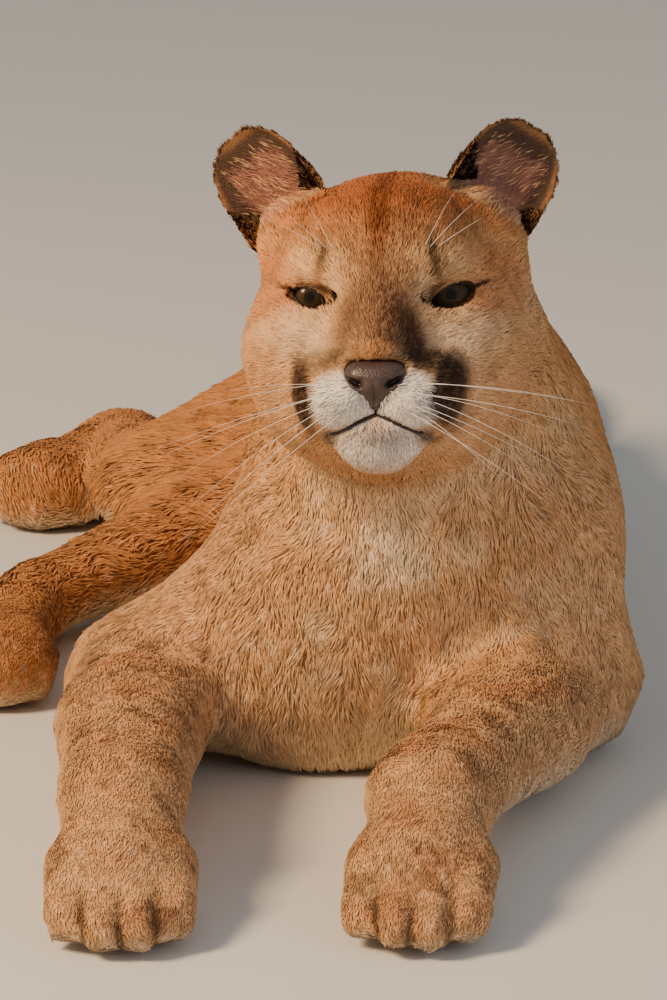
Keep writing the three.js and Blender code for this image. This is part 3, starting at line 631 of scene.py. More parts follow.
# The lids' opening, a lens on the eyeball: 1 is the left eye, and -1 the right one, whose lids are
# drawn together a little against the light
OPEN_WIDE = {1: 25, -1: 18.5}
OPEN_HIGH = {1: 13.2, -1: 11}
OPEN_TILT = math.radians(20)
EYE_OUT = {1: math.radians(13), -1: math.radians(6)}
EYE_SUNK = 3.0  # the skin inside the opening, below the eyeball's surface
LID_GAP = 1.7  # the lids, over that surface
LID_RIM_GAP = 1.1
LID_CLOSED = 3.4
LID_CORNER = 9  # how much further the skin stands off at the inner corner
EYE_REACH = 24


def eye_axes(way):
    """The eye's middle and its across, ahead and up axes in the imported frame."""
    middle = on_head(way * EYE_APART / 2, EYE_AHEAD, 0)
    turned = Matrix.Rotation(EYE_OUT[way] * way, 3, "Z") @ Matrix.Rotation(-OPEN_TILT * way, 3, "Y")
    axes = TURN @ np.array(turned)
    return middle, axes[:, 0] * way, -axes[:, 1], axes[:, 2]


def in_eye(points, way):
    """Points as (outwards along the slit, ahead, up) from the eye's middle, in millimetres."""
    middle, across, ahead, up = eye_axes(way)
    away = (points - middle) / MM
    return np.stack([away @ across, away @ ahead, away @ up], axis=1)


def lid_edge(across, way):
    """Heights of the lower and upper lids' edges over the slit's length."""
    share = np.clip(across / (OPEN_WIDE[way] / 2), -1, 1)
    arch = np.sqrt(np.clip(1 - share**2, 0, 1))
    middle = -0.5 + 0.7 * share
    return middle - OPEN_HIGH[way] * 0.48 * arch**1.1, middle + OPEN_HIGH[way] * 0.46 * arch**0.85


def swell(points, normals, place, radii, height):
    """Pushes the face out, or in where height is below zero, round a place on both sides."""
    near = np.exp(-(((folded(points) - place) / radii) ** 2).sum(1))
    return points + normals * (near * height * MM)[:, None]


# Forms of the face on both its sides: middle (aside, ahead, up), radii and height
FACE_FORMS = [
    ((33, 16, 13), (17, 30, 6), 2.6),  # brow
    ((22, 16, -5), (7, 30, 7), -2.2),  # hollow at the eye's inner corner
    ((46, 20, -17), (17, 30, 7), 1.6),  # cheekbone
    ((17, 44, -28), (6, 30, 15), -1.6),  # side of the bridge
    ((20, 60, -62), (13, 30, 12), 1.6),  # whisker pad
    ((0, 66, -85), (16, 30, 8), 1.2),  # chin
]
MOUTH_HALF = 27
LIPS_DEEP = 3.2
CLEFT_DEEP = 2.0
UNDER_NOSE = 7
LIP_LINE = np.array([(0, -68), (8, -71.5), (16, -76), (23, -78.8), (28, -78.5)])
NOSE_LEVELS = [-68, -65, -60, -56, -51, -46, -41, -37.5, -36.5]
NOSE_HALVES = [0, 2.2, 3.6, 7.5, 14, 17.2, 17.4, 14, 0]


def lip_height(wide):
    return np.interp(wide, LIP_LINE[:, 0], LIP_LINE[:, 1])


def nose_half(up):
    """Half the nose pad's width at a height."""
    return np.interp(up, NOSE_LEVELS, NOSE_HALVES)


def lip_crease(points):
    """How deep the lips' line and the cleft over it are pressed in, in millimetres."""
    wide, ahead, up = folded(points).T
    mouth = hump(up - lip_height(wide), 2) * (1 - ramp(wide, 24, 30))
    cleft = hump(wide, 1.6) * ramp(-up, 58, 62) * (up > -70)
    return np.maximum(mouth * LIPS_DEEP, cleft * CLEFT_DEEP) * (ahead > 25)


def in_ears(points, heights, widths):
    """1 on the ears, from 0 over a range of heights and of widths of the head."""
    wide, _, up = folded(points).T
    return ramp(up, *heights) * ramp(wide, *widths)


def make_face_skin():
    skin = fused_copy("face_skin", FACE_PARTS, FACE_VOXEL)
    cut = SEAM - SEAM_WAY * SEAM_OVERLAP
    edit_points(skin, bpy.ops.mesh.bisect, plane_co=cut, plane_no=SEAM_WAY, clear_inner=True)
    set_points(skin, close_lids(mesh_points(skin)))
    smooth(skin, 24, 1 - 0.8 * in_ears(mesh_points(skin), (44, 60), (46, 60)))
    points = mesh_points(skin)
    from_eyes = [np.linalg.norm(points - eye_axes(way)[0], axis=1) for way in SIDES.values()]
    edit_points(skin, bpy.ops.mesh.subdivide, np.min(from_eyes, axis=0) < EYE_REACH * MM, number_cuts=1)
    points = mesh_points(skin)
    normals = mesh_normals(skin)
    depth = coat_depth(points) * (1 - 0.7 * in_ears(points, (40, 58), (44, 58)))
    points = points - normals * depth[:, None]
    for place, radii, height in FACE_FORMS:
        points = swell(points, normals, place, radii, height)
    wide, ahead, up = folded(points).T
    under_nose = ramp(nose_half(up) - wide, -0.5, 2.5) * (ahead > 40)
    points = points - normals * (lip_crease(points) * MM)[:, None]
    for way in SIDES.values():
        points = open_lids(points, way)
    set_points(skin, points - AHEAD * (under_nose * UNDER_NOSE * MM)[:, None])
    shade_smooth(skin)
    return skin


def close_lids(points):
    """Raises what lies in the part's slits to the outside of the lids."""
    for way in SIDES.values():
        middle, *_ = eye_axes(way)
        far = np.linalg.norm(points - middle, axis=1) / MM
        across, ahead, _ = in_eye(points, way).T
        inwards = np.degrees(np.arctan2(-across, ahead))
        corner = math.degrees(math.asin(OPEN_WIDE[way] / 2 / (EYE_RADIUS + 1.5)))
        lid = EYE_RADIUS + LID_CLOSED + LID_CORNER * ramp(inwards - corner, -3, 18)
        raised = np.where(ahead > 0, np.maximum(far, lid), far)
        points = middle + (points - middle) * (raised / np.maximum(far, 1e-6))[:, None]
    return points


def open_lids(points, way):
    """Sinks what lies inside the slit behind the eyeball, and stands the lids just off it."""
    local = in_eye(points, way)
    across, ahead, up = local.T
    far = np.linalg.norm(local, axis=1)
    near = (far < 30) & (ahead > 0)
    low, high = lid_edge(across * 1.02, way)
    inside = near & (np.abs(across) < OPEN_WIDE[way] / 2 * 0.98) & (up > low) & (up < high)
    target = np.where(near, np.maximum(far, EYE_RADIUS + LID_GAP), far)
    target[inside] = EYE_RADIUS - EYE_SUNK
    middle, *_ = eye_axes(way)
    return middle + (points - middle) * (target / np.maximum(far, 1e-6))[:, None]


# Materials
def node(tree, kind, links=(), **settings):
    """Adds a node with its settings; links are (its input, another node's output)."""
    made = tree.nodes.new(kind)
    for key, value in settings.items():
        if key.startswith("in_"):
            made.inputs[key[3:].replace("_", " ")].default_value = value
        else:
            setattr(made, key, value)
    for name, output in links:
        tree.links.new(output, made.inputs[name])
    return made


def material(name, **settings):
    made = bpy.data.materials.new(name)
    made.use_nodes = True
    shader = made.node_tree.nodes["Principled BSDF"]
    for key, value in settings.items():
        shader.inputs[key.replace("_", " ")].default_value = value
    return made, made.node_tree, shader


def plain_material(name, colour, roughness, **settings):
    made, _, shader = material(name, Roughness=roughness, **settings)
    shader.inputs["Base Color"].default_value = (*linear(colour), 1)
    return made


def painted_material(name, **settings):
    """A material whose colour is the one painted on the mesh."""
    made, tree, shader = material(name, **settings)
    colour = node(tree, "ShaderNodeAttribute", attribute_name="coat_colour").outputs["Color"]
    tree.links.new(colour, shader.inputs["Base Color"])
    return made, tree, shader, colour


def grain(tree, shader, colour, pattern, tones, **relief):
    """Breaks a painted surface by a pattern, in tone and in relief; tones maps it to brightness, and as
    both materials map it the relief's low places come out darker: painted shade.
    """
    tone = node(tree, "ShaderNodeMapRange", [("Value", pattern)], **tones)
    scale = [(0, colour), ("Scale", tone.outputs["Result"])]
    mixed = node(tree, "ShaderNodeVectorMath", scale, operation="SCALE")
    tree.links.new(mixed.outputs["Vector"], shader.inputs["Base Color"])
    bump = node(tree, "ShaderNodeBump", [("Height", pattern)], **relief)
    tree.links.new(bump.outputs["Normal"], shader.inputs["Normal"])


HAIRS_A_METRE = 700  # locks 1.4 mm apart, coarser than single hairs so that they show
PEBBLES_A_METRE = 900  # 1.1 mm apart


def coat_material():
    """Guard hairs of keratin: dull, a little sheen where they graze the light."""
    return painted_material("cougar_coat", Roughness=0.78, Specular_IOR_Level=0.09)[0]


def underfur_material():
    """The soft fur between the guard hairs: as dull, broken into fine locks and gaps, the gaps painted
    darker as painted shade.
    """
    made, tree, shader, colour = painted_material("underfur", Roughness=0.78, Specular_IOR_Level=0.09)
    place = node(tree, "ShaderNodeTexCoord").outputs["Object"]
    hairs = node(tree, "ShaderNodeTexNoise", [("Vector", place)], in_Scale=HAIRS_A_METRE, in_Detail=3.0)
    tones = {"in_From_Min": 0.3, "in_From_Max": 0.7, "in_To_Min": 0.74, "in_To_Max": 1.0}
    grain(tree, shader, colour, hairs.outputs["Fac"], tones, in_Strength=0.8, in_Distance=0.0012)
    return made


def leather_material():
    """Bare nose skin: moist and pebbled, so it takes a soft broken shine; the pebbles' tops are painted
    lighter and the crevices between them darker, as painted light and shade.
    """
    made, tree, shader, colour = painted_material(
        "nose_leather", Roughness=0.42, Coat_Weight=0.25, Coat_Roughness=0.25
    )
    place = node(tree, "ShaderNodeTexCoord").outputs["Object"]
    pebbles = node(tree, "ShaderNodeTexVoronoi", [("Vector", place)], in_Scale=PEBBLES_A_METRE)
    tones = {"in_From_Max": 0.7, "in_To_Min": 1.1, "in_To_Max": 0.55}
    relief = {"in_Strength": 0.5, "in_Distance": 0.0006, "invert": True}
    grain(tree, shader, colour, pebbles.outputs["Distance"], tones, **relief)
    return made


def eye_material():
    """A wet cornea over a dark olive-brown iris, whose fibres run out from the pupil."""
    return painted_material(
        "eye", Roughness=0.3, Specular_IOR_Level=0.05, Coat_Weight=0.3, Coat_Roughness=0.03
    )[0]


COAT = coat_material()
UNDERFUR = underfur_material()
NOSE_LEATHER = leather_material()
# Damp bare skin along the lids, and drier bare skin on the lips
LID_SKIN = plain_material("lid_skin", "#1D1512", 0.35, Coat_Weight=0.3, Coat_Roughness=0.2)
LIP_SKIN = plain_material("lip_skin", "#2A1D19", 0.45)
# Stiff smooth keratin, nearly white
WHISKER = plain_material("whisker_keratin", "#F4EEE4", 0.4)
EYE = eye_material()


def finish_piece(piece, surface, slot, *nodes):
    piece.data.materials.clear()
    piece.data.materials.append(surface)
    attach(piece, "root")
    if nodes:
        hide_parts(*nodes)


def new_mesh(name, points, faces):
    """A piece from arrays: points, and faces that all have the same number of corners."""
    corners = faces.shape[1]
    mesh = bpy.data.meshes.new(name)
    mesh.vertices.add(len(points))
    mesh.vertices.foreach_set("co", points.ravel())
    mesh.loops.add(faces.size)
    mesh.loops.foreach_set("vertex_index", faces.ravel())
    mesh.polygons.add(len(faces))
    mesh.polygons.foreach_set("loop_start", np.arange(len(faces)) * corners)
    mesh.polygons.foreach_set("loop_total", np.full(len(faces), corners))
    mesh.polygons.foreach_set("use_smooth", np.ones(len(faces), bool))
    mesh.update(calc_edges=True)
    return new_object(name, mesh)


# Tufts: four corners each, a root, one on each side of the widest place, and a tip. Each is a
# closed sliver, shaded as a lock that is round across its width.
TUFT_FACES = np.array([[0, 2, 1], [3, 1, 2], [0, 1, 3], [0, 3, 2]])
PIECE_TUFTS = 48000
UV_PATCH = 0.0015 * np.array([[0, -1], [1, 0], [-1, 0], [0, 1]])
ROOT_SUNK = 0.8 * MM
TUFT_FLOOR = 0.3 * MM
# Painted shade: each tuft's root is painted darker, where the coat shades it near the skin.
ROOT_SHADE = 0.82
LIGHT_TIP = 1.07
DARK_TIP = 0.68
DARK_TIPS = 0.14  # share of the tufts
PALE_HAIRS = 0.13  # share of those in the ears' cups
TONE_SPREAD = 0.05
SKIN_TONE = 0.86


def coat_piece(name, root, lie, normal, length, width, rise, colours, tips, patch):
    """One mesh of tufts. rise is how steeply each leaves the skin, in radians."""
    count = len(root)
    across = np.cross(normal, lie)
    first = lie * np.cos(rise)[:, None] + normal * np.sin(rise)[:, None]
    bent = rise * 0.2
    second = lie * np.cos(bent)[:, None] + normal * np.sin(bent)[:, None]
    middle = root + first * (length * 0.4)[:, None]
    crown = middle + normal * (width * 0.35)[:, None]
    tip = middle + second * (length * 0.6)[:, None]
    points = np.stack(
        [
            root - normal * ROOT_SUNK,
            crown + across * width[:, None],
            crown - across * width[:, None],
            tip,
        ],
        axis=1,
    )
    points[:, :, 2] = np.maximum(points[:, :, 2], TUFT_FLOOR)
    faces = (TUFT_FACES[None] + 4 * np.arange(count)[:, None, None]).reshape(-1, 3)
    piece = new_mesh(name, points.reshape(-1, 3), faces)
    shading = np.stack(
        [normal - lie * 0.2, normal + across * 0.45, normal - across * 0.45, normal + lie * 0.35],
        axis=1,
    )
    piece.data.normals_split_custom_set_from_vertices(unit(shading.reshape(-1, 3)))
    # Each tuft's root is painted darker as painted shade; its tip is lighter, or dark on some.
    shades = np.stack([colours * ROOT_SHADE, colours, colours, tips], axis=1)
    paint(piece, np.clip(shades.reshape(-1, 3), 0, 1))
    corners = (patch[:, None] + UV_PATCH[None]).reshape(-1, 2)[faces.ravel()]
    piece.data.uv_layers.new(name="OFBake").data.foreach_set("uv", corners.ravel().astype(np.float32))
    finish_piece(piece, COAT, "coat")


class Surface:
    """A skin as arrays, from which roots are drawn."""

    def __init__(self, piece):
        mesh = piece.data
        mesh.calc_loop_triangles()
        corners = np.empty(len(mesh.loop_triangles) * 3, np.int32)
        mesh.loop_triangles.foreach_get("vertices", corners)
        self.faces = corners.reshape(-1, 3)
        self.points = mesh_points(piece)
        self.normals = mesh_normals(piece)
        a, b, c = (self.points[self.faces[:, i]] for i in range(3))
        self.areas = np.linalg.norm(np.cross(b - a, c - a), axis=1) / 2
        self.middles = (a + b + c) / 3
        self.face_normals = unit(np.cross(b - a, c - a))

    def roots(self, density, draw):
        """Root points and normals; density is tufts per square metre at each face."""
        wanted = self.areas * density
        chosen = np.repeat(np.arange(len(self.faces)), draw.poisson(wanted))
        u, v = draw.random((2, len(chosen)))
        fold = u + v > 1
        u[fold], v[fold] = 1 - u[fold], 1 - v[fold]
        shares = np.stack([1 - u - v, u, v], axis=1)[:, :, None]
        corners = self.faces[chosen]
        root = (self.points[corners] * shares).sum(1)
        normal = unit((self.normals[corners] * shares).sum(1))
        return root, normal


# Where each root lies on the unwrap of the skin: a tile for every length of the body, which is
# rolled out round its own axis, and two for the head, which is rolled out round the nose's axis.
TILES = 8
TILE_EDGE = 0.06


def tile_place(tile, u, v):
    inside = 1 - 2 * TILE_EDGE
    column, row = tile % TILES, tile // TILES
    return np.stack([column + TILE_EDGE + inside * u, row + TILE_EDGE + inside * v], axis=1) / TILES


def unwrap(points, normals):
    best = np.full(len(points), np.inf)
    places = np.zeros((len(points), 2))
    for tile, (_, start, end, reach, _) in enumerate(LENGTHS):
        share, off = off_length(points, start, end)
        away = np.linalg.norm(off, axis=1) / reach
        side_way = unit(np.cross(end - start, [0.1, 0.2, 1.0]))
        up_way = unit(np.cross(side_way, end - start))
        turn = np.arctan2(off @ side_way, off @ up_way) / (2 * math.pi) + 0.5
        nearer = away < best
        places[nearer] = tile_place(tile, turn, np.clip((share + 0.5) / 2, 0, 1))[nearer]
        best = np.minimum(best, away)
    left, ahead, up = in_head(points).T
    on = head_share(points) > 0.5
    back = normals @ AHEAD < -0.15
    turn = np.arctan2(left, up + 30) / (2 * math.pi) + 0.5
    long = np.clip((90 - ahead) / 260, 0, 1)
    for flag, tile in ((~back, TILES * TILES - 1), (back, TILES * TILES - 2)):
        places[on & flag] = tile_place(tile, turn, long)[on & flag]
    return places


NOSE = on_head(0, 72, -46)
STIR_SEEDS = (11, 12, 13)


def lie_of_fur(points, normals):
    """The unit way along the skin in which the fur lies: on the head, away from the nose."""
    _, lie = near_lengths(points)
    head = head_share(points)
    lie = mix(unit(lie), unit(points - NOSE), head)
    ear, inside, _, _ = ear_part(points, normals)
    for way in SIDES.values():
        _, across, _, up = ear_axes(way)
        near = (in_head(points)[:, 0] * way > 0) * ear
        lie = mix(lie, up - across * (inside * 0.6 - 0.1)[:, None], near)
    stir = np.stack([ripple(points, 30, seed) for seed in STIR_SEEDS], axis=1)
    lie = unit(lie) + stir * (0.14 + 0.16 * (1 - head))[:, None]
    return unit(lie - normals * (lie * normals).sum(1, keepdims=True))


def bare_places(points):
    """Whether no fur grows: on the eyes, the nose and the line of the lips."""
    wide, ahead, up = folded(points).T
    bare = (ahead > 48) & (up < NOSE_LEVELS[-1]) & (wide < nose_half(up))
    bare |= (np.abs(up - lip_height(wide)) < 1.3) & (wide < MOUTH_HALF - 1) & (ahead > 25)
    for way in SIDES.values():
        across, out, above = in_eye(points, way).T
        low, high = lid_edge(across * 0.93, way)
        slit = (np.abs(across) < OPEN_WIDE[way] / 2 + 0.8) & (above > low - 1.2) & (above < high + 1.2)
        bare |= slit & (out > 0)
    return bare


def grow(name, surface, draw, spacing, shape):
    """Coat over a skin. spacing gives the gaps between tufts, shape their length, width and rise."""
    gaps = spacing(surface.middles, surface.face_normals) * MM
    density = np.where(gaps > 0, 1 / np.maximum(gaps, 1e-4) ** 2, 0)
    root, normal = surface.roots(density, draw)
    count = len(root)
    length, width, rise = shape(root, normal)
    lie = lie_of_fur(root, normal)
    lie = unit(lie + np.cross(normal, lie) * draw.normal(0, 0.2, count)[:, None])
    mottle = ripple(root, 15, 5) * 0.09 + ripple(root, 5, 6) * 0.06
    tone = 1 + draw.normal(0, TONE_SPREAD, count) + mottle
    colours = coat_colours(root, normal) * tone[:, None]
    _, cup, rim, _ = ear_part(root, normal)
    colours[(cup * (1 - rim) > 0.5) & (draw.random(count) < PALE_HAIRS)] = SAND
    dark = (draw.random(count) < DARK_TIPS) & (colours.mean(1) > 0.05)
    tufts = {
        "root": root,
        "lie": lie,
        "normal": normal,
        "length": length * draw.uniform(0.75, 1.2, count) * MM,
        "width": width * draw.uniform(0.75, 1.25, count) * MM,
        "rise": rise * draw.uniform(0.7, 1.3, count),
        "colours": colours,
        "tips": colours * np.where(dark, DARK_TIP, LIGHT_TIP)[:, None],
        "patch": unwrap(root, normal),
    }
    order = np.argsort(root[:, 1], kind="stable")
    chunks = max(1, math.ceil(count / PIECE_TUFTS))
    for number, chosen in enumerate(np.array_split(order, chunks), 1):
        coat_piece(f"{name}_{number}", **{key: values[chosen] for key, values in tufts.items()})


# The camera looks from ahead, a little above the animal's head.
CAMERA_FAR = 3.2
CAMERA_UP = math.radians(15)
AIM = Vector(eyes_middle) + Vector((-28, 93.1, -146.5)) * MM
PICTURE_TALL = 0.600
SENSOR = 36
camera_data = bpy.data.cameras.new("camera")
camera_data.sensor_width = SENSOR
camera_data.lens = SENSOR * CAMERA_FAR / PICTURE_TALL
camera_data.clip_end = 30
camera = new_object("camera", camera_data)
camera.location = AIM + CAMERA_FAR * Vector((0, -math.cos(CAMERA_UP), math.sin(CAMERA_UP)))
camera.rotation_euler = (math.radians(90) - CAMERA_UP, 0, 0)
bpy.context.scene.camera = camera

body_skin = make_body_skin()
face_skin = make_face_skin()
for skin in (body_skin, face_skin):
    colours = coat_colours(mesh_points(skin), mesh_normals(skin))
    paint(skin, colours * SKIN_TONE)
finish_piece(body_skin, UNDERFUR, "coat", *[n for n in FLESH if n != "head"])
finish_piece(face_skin, UNDERFUR, "coat", "head", "nose", "ear_left", "ear_right")

QUICK_SHARE = 1.0
draw = np.random.default_rng(7)


def face_spacing(points, normals):
    gap = 1.0 + 0.8 * ramp(-in_head(points)[:, 1], 10, 80)
    ear, inside, rim, _ = ear_part(points, normals)
    gap = gap * (1 - ear) + ear * (1.15 + 0.5 * inside - 0.35 * rim)
    return np.where(bare_places(points) | (seam_distance(points) < 0), 0, gap * QUICK_SHARE)


def face_shape(points, normals):
    """Length, width and rise of the head's tufts: short on the muzzle and round the eyes."""
    wide, ahead, up = folded(points).T
    long = 9.5 - 4.8 * ramp(ahead, 0, 45)
    over_lip = hump(up - lip_height(wide) - 2, 4) * (wide < 36) * (ahead > 20)
    long = long - 2.6 * over_lip
    for way in SIDES.values():
        across, out, above = in_eye(points, way).T
        round_eye = np.hypot(across / (OPEN_WIDE[way] / 2), above / (OPEN_HIGH[way] / 2))
        long = long * (0.42 + 0.58 * np.where(out > 0, ramp(round_eye, 1.1, 2.2), 1))
    ear, inside, rim, _ = ear_part(points, normals)
    long = long * (1 - ear) + ear * (4.8 - 2.1 * rim + 4 * inside * (1 - rim))
    broad = 0.34 + 0.14 * ramp(-ahead, 0, 60) * (1 - ear) - 0.14 * ear * np.maximum(inside, rim)
    return long, broad, 0.27 - 0.1 * ear * rim


def behind(points, start, end):
    """1 from one of the skeleton's distances back on, and 0 ahead of the other."""
    return ramp(points[:, 1], in_body(0, start, 0)[1], in_body(0, end, 0)[1])


def body_spacing(points, _):
    shares, _ = near_lengths(points)
    gap = 2.8 - 1.3 * (1 - behind(points, 40, 150)) - 0.3 * on_paws(points)
    gap = (gap - 0.5 * limb_share(shares, HIND_LEG)) * QUICK_SHARE
    return np.where(past_seam(points, 0) | (points[:, 2] < 2 * MM), 0, gap)


def body_shape(points, _):
    """Length, width and rise of the body's tufts: short on the legs, longer behind the shoulders."""
    shares, _ = near_lengths(points)
    rear = behind(points, 60, 200)
    long = 9.5 + 2.5 * shares["chest"] + 1.5 * shares["neck"] + 4.5 * rear
    long = long - 5 * shares["paw"] - 2.5 * shares["forearm"] - 6 * shares["hind_foot"]
    broad = 0.42 + (0.38 - 0.16 * limb_share(shares, HIND_LEG)) * rear
    return long, broad, 0.24 + 0.08 * shares["chest"]


grow("coat_face", Surface(face_skin), draw, face_spacing, face_shape)
grow("coat_body", Surface(body_skin), draw, body_spacing, body_shape)


# Eyes
def make_eye(side, way):
    middle, *_ = eye_axes(way)
    deselect()
    bpy.ops.mesh.primitive_uv_sphere_add(segments=64, ring_count=48, radius=1)
    eye = bpy.context.object
    eye.name = f"eye_ball_{side}"
    eye.data.name = eye.name
    local = mesh_points(eye)
    # The sphere's pole looks ahead, and the cornea bulges round it.
    gaze = unit(TURN @ np.array([way * 0.05, -1, -0.02]))
    aside = unit(np.cross([0, 0, 1], gaze))
    over = np.cross(gaze, aside)
    polar = np.arccos(np.clip(local[:, 2], -1, 1))
    reach = (EYE_RADIUS + 0.5 + 0.45 * np.exp(-((polar / 0.62) ** 4))) * MM
    set_points(eye, middle + local @ np.stack([aside, over, gaze]) * reach[:, None])
    off_axis = np.sin(polar) * EYE_RADIUS
    spin = np.arctan2(local[:, 1], local[:, 0])
    fibres = 0.5 + 0.5 * np.sin(spin * 23 + np.sin(spin * 7) * 2)
    colours = blend_in(
        IRIS * (0.8 + 0.3 * fibres[:, None]),
        (IRIS_EDGE, ramp(off_axis, 6.0, 11.0)),
        (PUPIL, (1 - ramp(off_axis, 2.4, 4.2)) * 0.85),
        (EYE_MARGIN, ramp(off_axis, 11.2, 12.2)),
    )
    paint(eye, colours)
    shade_smooth(eye)
    finish_piece(eye, EYE, "eye", f"eye_{side}")


def tube(name, paths, radii, corners):
    """Closed tubes along paths, with a radius for each point of each path."""
    points = []
    faces = []
    base = 0
    turns = np.arange(corners)[:, None] / corners * 2 * math.pi
    for path, radius in zip(paths, radii):
        path = np.array(path)
        along = unit(np.gradient(path, axis=0))
        side_way = unit(np.cross(along, [0.13, 0.27, 0.95]))
        up_way = np.cross(side_way, along)
        ring = np.cos(turns) * side_way[:, None] + np.sin(turns) * up_way[:, None]
        points.append((path[:, None] + ring * np.array(radius)[:, None, None]).reshape(-1, 3))
        points.append(path[[0, -1]])
        last = base + (len(path) - 1) * corners
        for start in range(base, last, corners):
            for corner in range(corners):
                a = start + corner
                b = start + (corner + 1) % corners
                faces += [[a, b, b + corners], [a, b + corners, a + corners]]
        end = last + corners
        for corner in range(corners):
            following = (corner + 1) % corners
            faces.append([end, base + following, base + corner])
            faces.append([end + 1, last + corner, last + following])
        base = end + 2
    piece = new_mesh(name, np.concatenate(points), np.array(faces))
    edit_points(piece, bpy.ops.mesh.normals_make_consistent, inside=False)
    return piece


LID_STEPS = 25
LID_RIM_THICK = 0.8


def make_lids(side, way):
    middle, across_way, ahead_way, up_way = eye_axes(way)
    half = OPEN_WIDE[way] / 2
    across = np.sin(np.linspace(-1, 1, LID_STEPS) * math.pi / 2) * half
    low, high = lid_edge(across, way)
    outline = np.concatenate([np.stack([across, high], 1), np.stack([across, low], 1)[::-1]]) * 1.03
    x, z = np.concatenate([outline, outline[:1]]).T
    depth = np.sqrt(np.maximum((EYE_RADIUS + LID_RIM_GAP) ** 2 - x * x - z * z, 1))
    axes = np.stack([across_way, ahead_way, up_way])
    path = middle + np.stack([x, depth, z], axis=1) @ axes * MM
    radius = (LID_RIM_THICK + 0.4 * (np.abs(x) / half) ** 5) * MM
    finish_piece(tube(f"lid_rim_{side}", [path], [radius], 8), LID_SKIN, "eye")


for side, way in SIDES.items():
    make_eye(side, way)
    make_lids(side, way)

# Nostril and the slit of its wing: middle (aside, up), radii, slant, sharpness
NOSTRIL = ((10.4, -50.2), (3.8, 2.0), 0.5, 1.5)
NOSTRIL_WING = ((14.6, -47.16), (3.6, 1.1), 0.4, 1)
NOSTRIL_DEEP = 4.5
WING_DEEP = 2.2
NOSE_GROOVE_DEEP = 1.2
NOSE_PROUD = 0.5


def dent(wide, up, place, radii, slant, sharpness):
    """1 in a slanting oval, fading to 0 round it."""
    aside = wide - place[0]
    over = up - place[1] - aside * slant
    return np.exp(-(((aside / radii[0]) ** 2 + (over / radii[1]) ** 2) ** sharpness))


def make_nose():
    nose = fused_copy("nose_pad", ["nose"], NOSE_VOXEL)
    smooth(nose, 14, np.ones(len(nose.data.vertices)))
    points = mesh_points(nose)
    normals = mesh_normals(nose)
    wide, _, up = folded(points).T
    hole = dent(wide, up, *NOSTRIL)
    wing = dent(wide, up, *NOSTRIL_WING)
    groove = hump(wide, 1) * ramp(-up, 48, 56)
    facing = ramp(normals @ AHEAD, -0.2, 0.4)
    sunk = (hole * NOSTRIL_DEEP + wing * WING_DEEP + groove * NOSE_GROOVE_DEEP) * facing
    set_points(nose, points + normals * NOSE_PROUD * MM - AHEAD * (sunk * MM)[:, None])
    # Painted shade: the nostrils, the slits of their wings and the middle groove painted near black, as
    # the shade in these hollows.
    dark = (NOSTRIL_SHADE, hole * 1.2 + wing * 0.6 + groove * 0.5)
    paint(nose, blend_in(LEATHER, dark, (LEATHER_LOW, ramp(-up, 54, 63))))
    shade_smooth(nose)
    finish_piece(nose, NOSE_LEATHER, "nose_skin")


make_nose()

# Lips and whiskers
face_points = mesh_points(face_skin)
face_points = face_points[in_head(face_points)[:, 1] > 5]
face_local = in_head(face_points)


def on_skin(left, up):
    """The place on the face's skin that lies at this left and up, seen from the front."""
    return face_points[np.argmin(np.hypot(face_local[:, 0] - left, face_local[:, 2] - up))]


LIP_STEPS = 41
LIP_THICK = 1.35
CLEFT_THICK = 0.7
CLEFT_UPS = np.linspace(-62, -68, 6)


def make_lips():
    share = np.linspace(-1, 1, LIP_STEPS)
    lefts = share * MOUTH_HALF
    path = np.array([on_skin(left, up) for left, up in zip(lefts, lip_height(np.abs(lefts)))])
    for _ in range(3):
        path[1:-1] = path[1:-1] * 0.5 + (path[:-2] + path[2:]) * 0.25
    cleft = np.array([on_skin(0, up) for up in CLEFT_UPS])
    lip_radius = (LIP_THICK - 0.75 * np.abs(share) ** 3) * MM
    radii = [lip_radius, np.full(len(cleft), CLEFT_THICK * MM)]
    finish_piece(tube("lips", [path, cleft], radii, 8), LIP_SKIN, "nose_skin")


WHISKER_ROWS = [(-51, 2), (-56, 2), (-62, 3), (-67, 2)]  # height on the pad, hairs on each side
WHISKER_THICK = 0.19 * MM
BROW_HAIR_THICK = 0.18 * MM


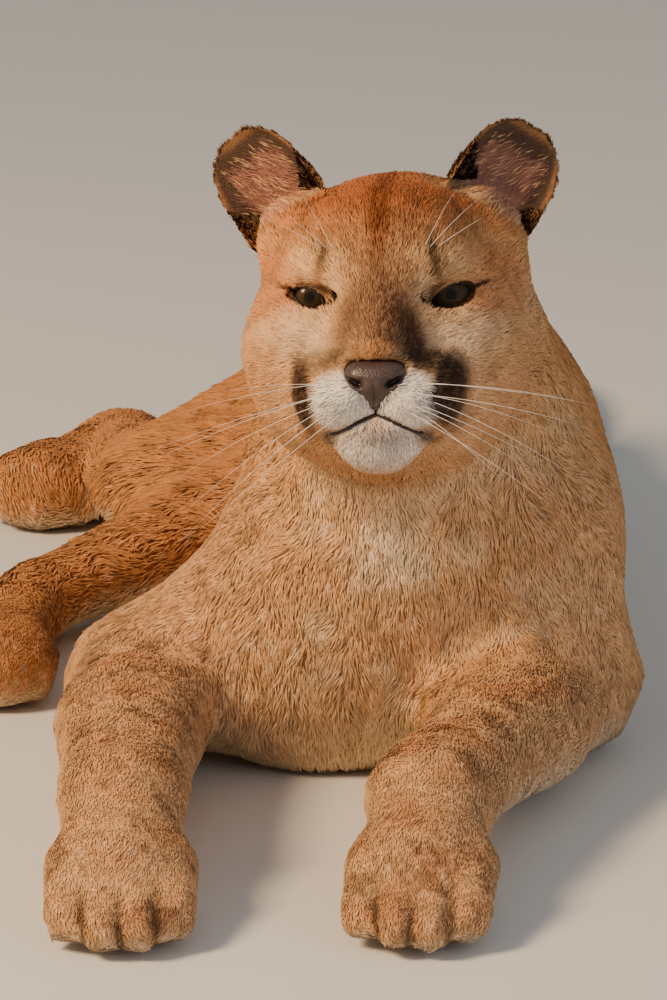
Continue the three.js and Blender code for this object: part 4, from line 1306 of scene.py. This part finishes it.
def whisker(left, up, way_out, long, hairs):
    """A stiff hair's path, bent by its own weight."""
    root = on_skin(left, up)
    way_out = TURN @ unit(np.array(way_out) + hairs.normal(0, 0.07, 3))
    share = np.linspace(0, 1, 12)
    droop = np.array([0, 0, -1]) * (share**2 * long * hairs.uniform(0.04, 0.2))[:, None]
    return root - way_out * 0.002 + way_out * (share * long)[:, None] + droop


def make_whiskers():
    """Rows of hairs on the whisker pads, and a few over each eye."""
    hairs = np.random.default_rng(21)
    taper = 1 - 0.85 * np.linspace(0, 1, 12)
    paths, radii = [], []
    for way in SIDES.values():
        for row, (up, count) in enumerate(WHISKER_ROWS):
            for n in range(count):
                left = way * (19 + 6.5 * n + hairs.uniform(-1, 1))
                out = [way * (0.85 + 0.1 * n), -0.1 + 0.12 * n, 0.05 - 0.22 * row]
                long = hairs.uniform(58, 105) * (1.1 - 0.1 * n) * MM
                paths.append(whisker(left, up + hairs.uniform(-1, 1), out, long, hairs))
                radii.append(WHISKER_THICK * taper)
        for n in range(3):
            out = [way * (0.45 + 0.25 * n), -0.3, 1.0 - 0.2 * n]
            paths.append(whisker(way * (26 + 3.5 * n), 27, out, hairs.uniform(30, 52) * MM, hairs))
            radii.append(BROW_HAIR_THICK * taper)
    finish_piece(tube("whiskers", paths, radii, 5), WHISKER, "coat")


make_lips()
make_whiskers()

# The floor and the light
deselect()
bpy.ops.mesh.primitive_plane_add(size=30, location=(0, 0, 0))
floor = bpy.context.object
floor.name = "floor"
floor.data.materials.append(plain_material("studio_floor", "#D9D6D0", 0.9))

world = bpy.data.worlds.new("studio")
bpy.context.scene.world = world
world.use_nodes = True
background = world.node_tree.nodes["Background"]
background.inputs["Color"].default_value = (*linear("#DFE3E6"), 1)
background.inputs["Strength"].default_value = 0.48


def lamp(name, place, size, power, colour):
    light = bpy.data.lights.new(name, "AREA")
    light.size = size
    light.energy = power
    light.color = linear(colour)
    holder = new_object(name, light)
    holder.location = AIM + Vector(place)
    holder.rotation_euler = (AIM - holder.location).to_track_quat("-Z", "Y").to_euler()
    return holder


lamp("key", (-2.3, -1.3, 2.1), 0.9, 172, "#FFDDB2")
fill = lamp("fill", (2.0, -2.2, 0.8), 2.0, 22, "#E8EEFF")
fill.visible_glossy = False
